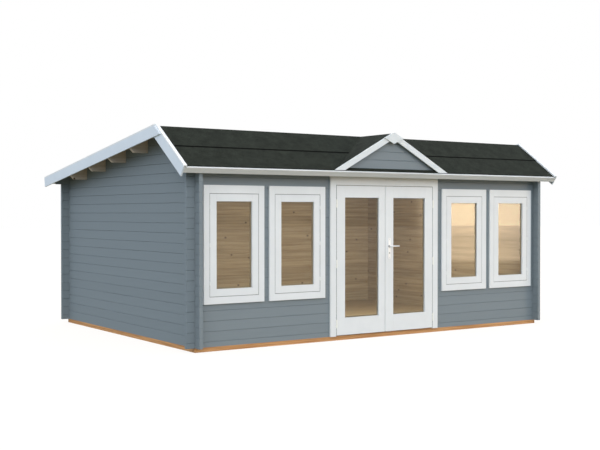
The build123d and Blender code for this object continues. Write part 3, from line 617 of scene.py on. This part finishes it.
def make_finishes():
    """All finishes of the house, by name."""
    colours = bpy.context.scene.log_house_colours
    roof = bpy.context.scene.log_house_roof
    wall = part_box("left_wall")
    front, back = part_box("front_sill_logs"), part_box("back_wall")
    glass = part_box("left_door_glass")
    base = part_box("long_bearers")[1].z
    one_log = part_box("front_head_logs")
    course = one_log[1].z - one_log[0].z
    gable_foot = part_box("dormer_gable_panel")[0].z
    end_middle = -(wall[0].x + wall[1].x) / 2
    room = (
        Vector((-end_middle, (front[0].y + front[1].y) / 2, 0)),
        Vector((end_middle, (back[0].y + back[1].y) / 2, 0)),
    )
    spruce = (colours.spruce, colours.spruce_grain)
    bearer = (colours.bearer, colours.bearer_grain)
    joinery = colours.joinery_paint
    # The long walls' logs stand half a course off the end walls', and the false gable's boards start
    # at the felt
    finishes.update({
        "long_logs": log_paint("painted_logs_long", 0, base, course, 0.5, room),
        "end_logs": log_paint("painted_logs_end", 1, base, course, 0.0, room),
        "gable_logs": log_paint("painted_gable_boards", 0, gable_foot, roof.gable_board, 0.0, room),
        "spruce_x": planed_timber("planed_spruce_x", 0, *spruce),
        "spruce_y": planed_timber("planed_spruce_y", 1, *spruce),
        "purlin": planed_timber("weathered_spruce", 0, colours.purlin, colours.purlin_grain),
        "bearer_x": planed_timber("treated_bearer_x", 0, *bearer),
        "bearer_y": planed_timber("treated_bearer_y", 1, *bearer),
        "white": satin_white("satin_fascia_white_painted_shade", colours.fascia_white_painted_shade),
        "verge": satin_white("satin_verge_white_painted_skylight", colours.verge_white_painted_skylight),
        "gable": satin_white("satin_gable_white_painted_skylight", colours.gable_white_painted_skylight),
        "bright": satin_white("satin_bright_paint", joinery),
        "joinery": satin_white("satin_white_joinery", joinery, (glass[0].y + glass[1].y) / 2),
        "felt": mineral_felt(),
        "glass": float_glass(),
        "hinge": coated_steel("cream_coated_steel", linear("#FBF9F0"), 0.35),
        "window_hinge": coated_steel("white_coated_steel", linear("#EFF0EE"), 0.35),
        "handle": brushed_metal("satin_aluminium", linear("#FBFBFB"), 0.58),
        "steel": brushed_metal("galvanised_steel", linear("#A9ABAC"), 0.42),
        "keyway": coated_steel("blackened_steel", linear("#1B1B1C"), 0.5),
        # The seals' grey rubber also stands as painted shade in the gaps
        "rubber": coated_steel("grey_rubber_gap_shade", linear("#5A5A56"), 0.75),
        "bitumen": pressed_bitumen_and_lap_shade(),
    })


# Operators, one for each piece or group of like pieces


class LOGHOUSE_OT_frame_finish(bpy.types.Operator):
    """Give every piece of the frame its finish"""

    bl_idname = "loghouse.frame_finish"
    bl_label = "Finish the frame"

    groups = {
        "long_logs": (
            "back_wall", "back_header_logs", "front_sill_logs", "front_corner_piers",
            "front_window_piers", "front_door_piers", "front_head_logs", "front_header_logs",
        ),
        "gable_logs": ("dormer_gable_panel",),
        "end_logs": ("left_wall", "right_wall"),
        "bearer_x": ("long_bearers",),
        "bearer_y": ("floor_joists",),
        "purlin": ("ridge_purlin", "purlins"),
        "spruce_x": ("floor_deck", "door_threshold"),
        "spruce_y": (
            "front_roof_boards", "rear_roof_boards", "dormer_left_boards", "dormer_right_boards",
        ),
        "felt": ("front_roof_felt", "rear_roof_felt", "dormer_felt"),
        # Fascias, bargeboards and the false gable's trim take copies of one white, with painted shade or
        # painted sky light in them
        "white": ("front_fascia", "rear_fascia"),
        "verge": (
            "left_front_bargeboard", "right_front_bargeboard",
            "left_rear_bargeboard", "right_rear_bargeboard",
        ),
        "gable": ("dormer_left_bargeboard", "dormer_right_bargeboard", "dormer_apex_plate"),
        "bright": ("eaves_strips", "front_verge_caps", "rear_verge_caps"),
        "joinery": (
            "door_jambs", "door_head", "left_door_leaf", "right_door_leaf", "left_window_frames",
            "right_window_frames", "left_window_sashes", "right_window_sashes",
        ),
        "glass": ("left_door_glass", "right_door_glass", "left_window_glass", "right_window_glass"),
        "hinge": ("frame_hinges", "left_door_hinges", "right_door_hinges"),
        "handle": ("handle_plates", "door_lever"),
    }

    def execute(self, context):
        make_finishes()
        dressed = {node for nodes in self.groups.values() for node in nodes}
        if dressed != set(frame["nodes"]):
            raise RuntimeError(f"nodes without one finish: {dressed ^ set(frame['nodes'])}")
        for finish, nodes in self.groups.items():
            for node in nodes:
                mesh = frame["nodes"][node].data
                mesh.materials.clear()
                mesh.materials.append(finishes[finish])
        return {"FINISHED"}


class LOGHOUSE_OT_floor_boards(bpy.types.Operator):
    """Lay the floor as tongued boards along the house"""

    bl_idname = "loghouse.floor_boards"
    bl_label = "Floor boards"

    def execute(self, context):
        sizes = context.scene.log_house_joinery
        low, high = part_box("floor_deck")
        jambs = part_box("door_jambs")
        edge_gap = low.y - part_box("front_sill_logs")[1].y
        notch, side = jambs[1].y + edge_gap, jambs[1].x + edge_gap
        count = round((high.y - notch) / sizes.floor_board)
        width = (high.y - notch) / count
        arris = sizes.floor_joint / 2
        piece = open_piece("floor_boards")
        add_board((low.x, notch, low.z), (high.x, notch + width, high.z), arris)
        repeat(piece, count, (0.0, width, 0.0))
        bpy.ops.object.mode_set(mode="EDIT")
        bpy.ops.mesh.select_all(action="DESELECT")
        add_board((low.x, low.y, low.z), (-side, notch, high.z), arris)
        add_board((side, low.y, low.z), (high.x, notch, high.z), arris)
        close_piece(piece, finishes["spruce_x"], stands_for=("floor_deck",))
        return {"FINISHED"}


class LOGHOUSE_OT_roof_boards(bpy.types.Operator):
    """Lay each roof slope as boards from the ridge to the eaves"""

    bl_idname = "loghouse.roof_boards"
    bl_label = "Roof boards"

    def execute(self, context):
        sizes = context.scene.log_house_roof
        for node in ("front_roof_boards", "rear_roof_boards"):
            under, over = Slope(node, -1), Slope(node, 1)
            thickness = (over.point(0, over.run, 0) - under.point(0, under.run, 0)).length
            count = round(2 * under.half / sizes.board)
            width = 2 * under.half / count
            piece = open_piece(node.replace("roof_boards", "slope_boards"))
            near = (-under.half, 0.0, 0.0)
            far = (-under.half + width, under.run, thickness)
            under.board(near, far, sizes.board_joint / 2)
            repeat(piece, count, (width, 0.0, 0.0))
            close_piece(piece, finishes["spruce_y"], stands_for=(node,))
        return {"FINISHED"}


class LOGHOUSE_OT_felt_courses(bpy.types.Operator):
    """Lay the upper widths of felt over the lower ones, with a black seam at each lap that is bitumen and
    painted shade
    """

    bl_idname = "loghouse.felt_courses"
    bl_label = "Felt courses"

    # How much of its thickness a width of felt loses toward its upper edge
    taper = 0.9

    def execute(self, context):
        sizes = context.scene.log_house_roof
        courses = {"front_roof_felt": sizes.front_courses, "rear_roof_felt": sizes.rear_courses}
        for node, count in courses.items():
            slope = Slope(node, 1)
            laps = [slope.run * (k + 1) / count for k in range(count - 1)]
            sheet = open_piece(node.replace("roof_felt", "felt_courses"))
            start = 0.0
            for lap in laps:
                self.wedge(slope, start, lap, sizes.lap_height)
                start = lap
            close_piece(sheet, finishes["felt"])
            seam = open_piece(node.replace("roof_felt", "felt_seams_and_lap_shade"))
            for lap in laps:
                near = (-slope.half, lap, 0.0)
                far = (slope.half, lap + sizes.seam_and_shade_width, sizes.lap_height / 2)
                slope.board(near, far, sizes.lap_height / 4)
            close_piece(seam, finishes["bitumen"])
        return {"FINISHED"}

    def wedge(self, slope, start, lap, height):
        """One width of felt: nearly flush at its upper edge, a felt's thickness at its lap."""
        near, far = slope.flat(-slope.half, start, 0.0), slope.flat(slope.half, lap, height)
        low, high = extremes((near, far))
        bpy.ops.mesh.primitive_cube_add(size=1.0, location=(low + high) / 2, scale=high - low)
        mesh = bmesh.from_edit_mesh(bpy.context.active_object.data)
        for vertex in mesh.verts:
            upper = abs(vertex.co.y - near.y) < 1e-4 and abs(vertex.co.z - high.z) < 1e-4
            vertex.select_set(vertex.select and upper)
        mesh.select_flush(False)
        bpy.ops.transform.translate(value=(0.0, 0.0, -height * self.taper))
        bpy.ops.mesh.select_linked()
        slope.tip()


class LOGHOUSE_OT_trim_nails(bpy.types.Operator):
    """Nail the bargeboards"""

    bl_idname = "loghouse.trim_nails"
    bl_label = "Trim nails"

    # Each row's depth below the felt, the first nail's share of a spacing, and the shape of a head
    row_drops = (0.035, 0.095)
    first_share = 0.75
    head_length = 0.8
    head_arris = 0.25
    head_sides = 10

    def execute(self, context):
        sizes = context.scene.log_house_roof
        radius = sizes.nail_radius
        piece = open_piece("trim_nails")
        for slope in ("front", "rear"):
            roof = Slope(f"{slope}_roof_felt", 1)
            count = max(2, round(roof.run / sizes.nail_spacing))
            for hand, side in (("left", -1), ("right", 1)):
                low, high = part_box(f"{hand}_{slope}_bargeboard")
                face = side * max(abs(low.x), abs(high.x))
                for k in range(count):
                    run = roof.run * (k + self.first_share) / count
                    for drop in self.row_drops:
                        # Half a radius of each painted head is sunk in the board
                        start = roof.point(face - side * radius / 2, run, -drop)
                        add_rod(
                            start, (side, 0, 0), radius * self.head_length, radius,
                            radius * self.head_arris, sides=self.head_sides,
                        )
        close_piece(piece, finishes["verge"])
        return {"FINISHED"}


def ring_members(outer, inner, near, far, arris):
    """Four boards round an opening: uprights of full height with the head and sill between them."""
    left, right, bottom, top = outer
    in_left, in_right, in_bottom, in_top = inner
    add_board((left, near, bottom), (in_left, far, top), arris)
    add_board((in_right, near, bottom), (right, far, top), arris)
    add_board((in_left, near, bottom), (in_right, far, in_bottom), arris)
    add_board((in_left, near, in_top), (in_right, far, top), arris)


def glazed_members(outer, glass, sizes):
    """Two stiles and two rails round a sheet of glass, and the beads that hold it from inside."""
    low, high = outer
    light = inset(outline(glass), sizes.glass_rebate)
    ring_members(outline(outer), light, low.y, high.y, sizes.arris)
    ring_members(light, inset(light, sizes.bead), glass[1].y, high.y, sizes.bead / 3)


class LOGHOUSE_OT_windows(bpy.types.Operator):
    """Build the windows from boards: casings, linings, sashes and glazing beads"""

    bl_idname = "loghouse.windows"
    bl_label = "Windows"

    def execute(self, context):
        sizes = context.scene.log_house_joinery
        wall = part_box("front_sill_logs")
        bottom, top = wall[1].z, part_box("front_head_logs")[0].z
        nodes = ("front_corner_piers", "front_window_piers", "front_door_piers")
        piers = sorted((box for node in nodes for box in solid_boxes(node)), key=lambda box: box[0].x)
        for side, first in (("left", 0), ("right", 3)):
            frames = solid_boxes(f"{side}_window_frames")
            sashes = solid_boxes(f"{side}_window_sashes")
            panes = solid_boxes(f"{side}_window_glass")
            casing = open_piece(f"{side}_window_casings")
            for k in range(2):
                opening = (piers[first + k][1].x, piers[first + k + 1][0].x, bottom, top)
                self.frame_members(frames[k], sashes[k], opening, wall, sizes)
            close_piece(
                casing, finishes["joinery"], stands_for=(f"{side}_window_frames",)
            )
            leaves = open_piece(f"{side}_window_sash_members")
            for k in range(2):
                glazed_members(sashes[k], panes[k], sizes)
            close_piece(
                leaves, finishes["joinery"], stands_for=(f"{side}_window_sashes",)
            )
        return {"FINISHED"}

    def frame_members(self, box, sash, opening, wall, sizes):
        """One window frame: outer casing, lining, stop and inner casing."""
        low, high = box
        light = inset(outline(sash), -sizes.sash_gap)
        behind = inset(light, sizes.frame_stop)
        ring_members(outline(box), light, low.y, wall[0].y, sizes.arris)
        ring_members(opening, light, wall[0].y, sash[1].y, sizes.arris)
        ring_members(opening, behind, sash[1].y, wall[1].y, sizes.arris)
        ring_members(outline(box), behind, wall[1].y, high.y, sizes.arris)


class LOGHOUSE_OT_window_hinges(bpy.types.Operator):
    """Hang three small barrel hinges on each window"""

    bl_idname = "loghouse.window_hinges"
    bl_label = "Window hinges"

    # Shares of the sash's height where hinges hang, of the radius by which a barrel's axis stands off
    # the casing, and of the barrel's height that a knuckle takes and starts at, from its middle
    height_shares = (0.13, 0.5, 0.87)
    stand_out = 0.6
    knuckle_share = 0.49
    knuckle_starts = (-0.5, 0.01)

    def execute(self, context):
        sizes = context.scene.log_house_joinery
        radius, height = sizes.hinge_radius, sizes.hinge_height
        piece = open_piece("window_hinges")
        for side in ("left", "right"):
            hung_left, hung_right = solid_boxes_of_open_piece(piece, f"{side}_window_sashes")
            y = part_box(f"{side}_window_frames")[0].y - radius * self.stand_out
            for x, (low, high) in (
                (hung_left[0].x - sizes.sash_gap / 2, hung_left),
                (hung_right[1].x + sizes.sash_gap / 2, hung_right),
            ):
                for share in self.height_shares:
                    z = low.z + share * (high.z - low.z)
                    for start in self.knuckle_starts:
                        foot = (x, y, z + height * start)
                        add_rod(foot, (0, 0, 1), height * self.knuckle_share, radius, radius / 4)
        close_piece(piece, finishes["window_hinge"])
        return {"FINISHED"}


def door_reveal():
    """Half the width between the jambs, and the gap at a leaf's edge, with the hinge in its middle."""
    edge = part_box("right_door_leaf")[1].x
    face = 2 * joint_place("right_door_swing")[0] - edge
    return face, face - edge


class LOGHOUSE_OT_door_frame(bpy.types.Operator):
    """Build the door frame from boards: casing, lining, stop and inner casing"""

    bl_idname = "loghouse.door_frame"
    bl_label = "Door frame"

    def execute(self, context):
        sizes = context.scene.log_house_joinery
        wall, head, jambs = (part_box(node) for node in ("front_sill_logs", "door_head", "door_jambs"))
        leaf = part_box("right_door_leaf")
        cut = solid_boxes("front_door_piers")[1][0].x
        face, gap = door_reveal()
        bottom, top, opening_top = jambs[0].z, head[1].z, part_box("front_head_logs")[1].z
        head_bottom, stop_front = leaf[1].z + gap, leaf[1].y + gap
        stop_bottom = head_bottom - sizes.frame_stop
        edge, inner = jambs[1].x, face - sizes.frame_stop
        piece = open_piece("door_frame_boards")
        layers = (
            (edge, face, jambs[0].y, wall[0].y, head_bottom, top),
            (cut, face, wall[0].y, stop_front, head_bottom, opening_top),
            (cut, inner, stop_front, wall[1].y, stop_bottom, opening_top),
            (edge, inner, wall[1].y, jambs[1].y, stop_bottom, top),
        )
        for outer, near, front, back, under, over in layers:
            add_board((near, front, bottom), (outer, back, over), sizes.arris)
            add_board((-outer, front, bottom), (-near, back, over), sizes.arris)
            add_board((-near, front, under), (near, back, over), sizes.arris)
        close_piece(piece, finishes["joinery"], stands_for=("door_jambs", "door_head"))
        return {"FINISHED"}


class LOGHOUSE_OT_door_leaves(bpy.types.Operator):
    """Build the two door leaves from stiles, rails and glazing beads"""

    bl_idname = "loghouse.door_leaves"
    bl_label = "Door leaves"

    def execute(self, context):
        sizes = context.scene.log_house_joinery
        for side in ("left", "right"):
            outer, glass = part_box(f"{side}_door_leaf"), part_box(f"{side}_door_glass")
            piece = open_piece(f"{side}_door_members")
            glazed_members(outer, glass, sizes)
            close_piece(
                piece, finishes["joinery"],
                body=f"{side}_door", stands_for=(f"{side}_door_leaf",),
            )
        return {"FINISHED"}


class LOGHOUSE_OT_weather_seals(bpy.types.Operator):
    """Set grey rubber seals in the gaps round the door leaves and the sashes, where their grey is also
    painted shade of the gaps
    """

    bl_idname = "loghouse.weather_seals"
    bl_label = "Weather seals"

    def execute(self, context):
        sizes = context.scene.log_house_joinery
        # The seals stand only two eased edges behind the faces, so that their grey shows in the gaps as
        # painted shade as well as rubber
        thin, shade_setback, arris = sizes.seal, 2 * sizes.arris, sizes.arris / 3
        sashes = [box for side in ("left", "right") for box in solid_boxes(f"{side}_window_sashes")]
        piece = open_piece("window_seals_and_gap_shade")
        for box in sashes:
            near = box[0].y + shade_setback
            outer = inset(outline(box), -sizes.sash_gap)
            ring_members(outer, outline(box), near, near + sizes.seal_depth, arris)
        close_piece(piece, finishes["rubber"])
        leaves = {side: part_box(f"{side}_door_leaf") for side in ("left", "right")}
        leaf_low, leaf_high = leaves["right"]
        face, gap = door_reveal()
        foot, head = leaf_low.z, leaf_high.z + gap
        front = leaf_low.y + shade_setback
        back = front + sizes.seal_depth
        piece = open_piece("door_frame_seals_and_gap_shade")
        add_board((-face, front, foot), (-face + thin, back, head), arris)
        add_board((face - thin, front, foot), (face, back, head), arris)
        add_board((-face + thin, front, head - thin), (face - thin, back, head), arris)
        close_piece(piece, finishes["rubber"])
        for side, (low, high) in leaves.items():
            edge = low.x - thin if side == "left" else high.x
            piece = open_piece(f"{side}_door_seals_and_gap_shade")
            add_board((edge, front, low.z), (edge + thin, back, high.z), arris)
            add_board((low.x, front, high.z), (high.x, back, high.z + thin), arris)
            close_piece(piece, finishes["rubber"], body=f"{side}_door")
        return {"FINISHED"}


class LOGHOUSE_OT_lock(bpy.types.Operator):
    """Set lock cylinders, lever bushes and screws in the handle plates; the black bushes are also painted
    shadow of the levers
    """

    bl_idname = "loghouse.lock"
    bl_label = "Lock and screws"

    # Radius, length, depth sunk in the plate, eased edge and sides of each round piece
    cylinder = (0.0085, 0.006, 0.002, 0.0008, 24)
    # A bush is wider than the lever's hub, so that its black ring shows round the hub as a bush and as
    # painted shadow of the lever on the plate
    bush = (0.016, 0.0013, 0.001, 0.0002, 24)
    screw = (0.0042, 0.0028, 0.001, 0.0009, 16)
    # The cylinder's distance under the lever, and a screw's from the plate's end
    cylinder_drop = 0.085
    screw_inset = 0.014
    # The keyway: half its width and height, its place off the plate, its depth and eased edge
    keyway_half = (0.0009, 0.005)
    keyway_out = 0.004
    keyway_depth = 0.0006
    keyway_arris = 0.0002

    def execute(self, context):
        low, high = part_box("handle_plates")
        x, lever = (low.x + high.x) / 2, joint_place("handle_turn")[2]
        lock = lever - self.cylinder_drop
        screws = (low.z + self.screw_inset, high.z - self.screw_inset)
        faces = ((low.y, -1), (high.y, 1))
        self.rods("lock_cylinders", "steel", x, faces, (lock,), self.cylinder)
        piece = open_piece("lock_keyways")
        half_width, half_height = self.keyway_half
        for y, away in faces:
            face = y + away * self.keyway_out
            add_board(
                (x - half_width, face, lock - half_height),
                (x + half_width, face + away * self.keyway_depth, lock + half_height),
                self.keyway_arris,
            )
        close_piece(piece, finishes["keyway"], body="right_door")
        self.rods("lever_bushes_and_shadow", "keyway", x, faces, (lever,), self.bush)
        self.rods("handle_screws", "steel", x, faces, screws, self.screw)
        return {"FINISHED"}

    def rods(self, name, finish, x, faces, heights, shape):
        """One piece of round rods that stand out of both plates at some heights."""
        radius, length, sunk, arris, sides = shape
        piece = open_piece(name)
        for y, away in faces:
            for z in heights:
                add_rod((x, y - away * sunk, z), (0, away, 0), length, radius, arris, sides=sides)
        close_piece(piece, finishes[finish], body="right_door")


def arc(start, end):
    """Two angles in degrees, as radians."""
    return math.radians(start), math.radians(end)


class LOGHOUSE_OT_stage(bpy.types.Operator):
    """Set the floor, the soft light and the camera"""

    bl_idname = "loghouse.stage"
    bl_label = "Stage"

    floor_tone = (0.20, 0.17, 0.14, 1.0)
    floor_glow = 0.85
    white = (1.0, 1.0, 1.0, 1.0)
    # Soft edges of the sky's layers, each from nothing to full, by how far a direction points up
    horizon = (-0.15, 0.20)
    overhead = (0.50, 0.95)
    box_foot = (0.15, 0.40)
    box_head = (0.92, 0.75)
    # Edges by how squarely a direction faces the key light
    key_side = (0.2, 0.9)
    fill_side = (-0.2, -0.9)
    # Edges of the warm light by its angle round from the front, and by its angle up: its foot rises
    # to the share of the low glow, and its waist from there to the whole
    glow_left = arc(40.5, 42.5)
    glow_right = arc(66.0, 58.0)
    glow_head = arc(16.0, 6.0)
    glow_foot = arc(-2.9, -2.5)
    glow_waist = arc(-1.5, -1.0)
    # The room's lamp: its share of the floor's length, its height, its place from the middle of the
    # floor's front edge, and its tilt
    lamp_share = 0.4
    lamp_height = 0.9
    lamp_place = Vector((0.65, 0.3, 1.3))
    lamp_tilt = math.radians(58)

    def execute(self, context):
        stage = context.scene.log_house_stage
        self.floor(stage)
        self.sky(context.scene, stage)
        self.room_lamp(stage)
        bpy.ops.object.camera_add(location=stage.eye, rotation=stage.aim)
        camera = context.active_object
        camera.data.lens = stage.lens
        camera.data.sensor_width = 36.0
        camera.data.clip_end = 400.0
        context.scene.camera = camera
        context.scene.view_settings.view_transform = "Standard"
        return {"FINISHED"}

    def floor(self, stage):
        """A plain pale floor that shades softly under the house and throws no colour on it."""
        bpy.ops.object.select_all(action="DESELECT")
        bpy.ops.mesh.primitive_plane_add(size=stage.floor_size)
        floor = bpy.context.active_object
        floor.name = "pale_floor"
        material, tree = new_material("pale_floor")
        soft = add_node(tree, "ShaderNodeBsdfDiffuse", {"Color": self.floor_tone})
        bright = add_node(
            tree, "ShaderNodeEmission", {"Color": self.white, "Strength": self.floor_glow}
        )
        both = add_node(tree, "ShaderNodeAddShader", {0: soft, 1: bright})
        add_node(tree, "ShaderNodeOutputMaterial", {"Surface": both})
        floor.data.materials.append(material)
        floor.visible_diffuse = False
        floor.visible_glossy = False

    def sky(self, scene, stage):
        """Studio light: a soft key high at the front left, a fill behind, a pale sky and a warm glow."""
        world = bpy.data.worlds.new("soft_sky")
        world.use_nodes = True
        scene.world = world
        tree = world.node_tree
        tree.nodes.clear()
        way = add_node(tree, "ShaderNodeTexCoord").outputs["Generated"]
        x, y, z = add_node(tree, "ShaderNodeSeparateXYZ", {"Vector": way}).outputs
        level = add_node(tree, "ShaderNodeVectorMath", {0: way, 1: (1, 1, 0)}, operation="MULTIPLY")
        unit = add_node(tree, "ShaderNodeVectorMath", {0: level}, operation="NORMALIZE")
        toward = add_node(
            tree, "ShaderNodeVectorMath", {0: unit, 1: stage.key_way}, operation="DOT_PRODUCT"
        )
        front = add_node(tree, "ShaderNodeMath", {0: y, 1: -1.0}, operation="MULTIPLY")
        turn = add_node(tree, "ShaderNodeMath", {0: x, 1: front}, operation="ARCTAN2")
        rise = add_node(tree, "ShaderNodeMath", {0: z}, operation="ARCSINE")
        foot = stage.glow_foot_share
        full = (0.0, 1.0)
        box = ((z, self.box_foot, full), (z, self.box_head, full))
        # Each layer covers the ones before it by the product of its edges
        layers = (
            (stage.sky, ((z, self.horizon, full),)),
            (stage.zenith, ((z, self.overhead, full),)),
            (stage.key, ((toward, self.key_side, full), *box)),
            (stage.fill, ((toward, self.fill_side, full), *box)),
            (stage.glow, (
                (turn, self.glow_left, full), (turn, self.glow_right, full), (rise, self.glow_head, full),
                (rise, self.glow_foot, (0.0, foot)), (rise, self.glow_waist, (1.0, 1.0 / foot)),
            )),
        )
        light = stage.ground
        for colour, edges in layers:
            share = 1.0
            for source, (start, end), (low, high) in edges:
                edge = add_node(
                    tree, "ShaderNodeMapRange",
                    {"Value": source, "From Min": start, "From Max": end, "To Min": low, "To Max": high},
                    interpolation_type="SMOOTHSTEP",
                )
                share = add_node(tree, "ShaderNodeMath", {0: share, 1: edge}, operation="MULTIPLY")
            light = add_node(
                tree, "ShaderNodeMix", {"Factor": share, "A": light, "B": colour}, data_type="RGBA"
            )
        seen = add_node(tree, "ShaderNodeLightPath").outputs["Is Camera Ray"]
        shown = add_node(
            tree, "ShaderNodeMix", {"Factor": seen, "A": light, "B": self.white}, data_type="RGBA"
        )
        back = add_node(tree, "ShaderNodeBackground", {"Color": shown})
        add_node(tree, "ShaderNodeOutputWorld", {"Surface": back})

    def room_lamp(self, stage):
        """A soft light high inside the front wall, as if from its windows, to show the room."""
        low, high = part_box("floor_deck")
        edge = Vector(((low.x + high.x) / 2, low.y, high.z))
        bpy.ops.object.light_add(
            type="AREA", location=edge + self.lamp_place, rotation=(self.lamp_tilt, 0, 0)
        )
        lamp = bpy.context.active_object
        lamp.name = "room_light"
        lamp.data.shape = "RECTANGLE"
        lamp.data.size = (high.x - low.x) * self.lamp_share
        lamp.data.size_y = self.lamp_height
        lamp.data.energy = stage.room_light
        lamp.visible_camera = False
        lamp.visible_glossy = False


class LOGHOUSE_PT_panel(bpy.types.Panel):
    """Steps that dress the house, in order"""

    bl_label = "Log House"
    bl_idname = "LOGHOUSE_PT_panel"
    bl_space_type = "VIEW_3D"
    bl_region_type = "UI"
    bl_category = "Log House"

    def draw(self, context):
        for step in steps:
            self.layout.operator(step.bl_idname)


steps = (
    LOGHOUSE_OT_frame_finish,
    LOGHOUSE_OT_floor_boards,
    LOGHOUSE_OT_roof_boards,
    LOGHOUSE_OT_felt_courses,
    LOGHOUSE_OT_trim_nails,
    LOGHOUSE_OT_windows,
    LOGHOUSE_OT_window_hinges,
    LOGHOUSE_OT_door_frame,
    LOGHOUSE_OT_door_leaves,
    LOGHOUSE_OT_weather_seals,
    LOGHOUSE_OT_lock,
    LOGHOUSE_OT_stage,
)
settings = {
    "log_house_colours": LogHouseColours,
    "log_house_joinery": LogHouseJoinery,
    "log_house_roof": LogHouseRoof,
    "log_house_stage": LogHouseStage,
}


def register():
    for name, group in settings.items():
        bpy.utils.register_class(group)
        setattr(bpy.types.Scene, name, PointerProperty(type=group))
    for step in steps:
        bpy.utils.register_class(step)
    bpy.utils.register_class(LOGHOUSE_PT_panel)


def unregister():
    bpy.utils.unregister_class(LOGHOUSE_PT_panel)
    for step in reversed(steps):
        bpy.utils.unregister_class(step)
    for name, group in settings.items():
        delattr(bpy.types.Scene, name)
        bpy.utils.unregister_class(group)


def main():
    register()
    for step in steps:
        group, name = step.bl_idname.split(".")
        getattr(getattr(bpy.ops, group), name)()


if __name__ == "__main__":
    main()
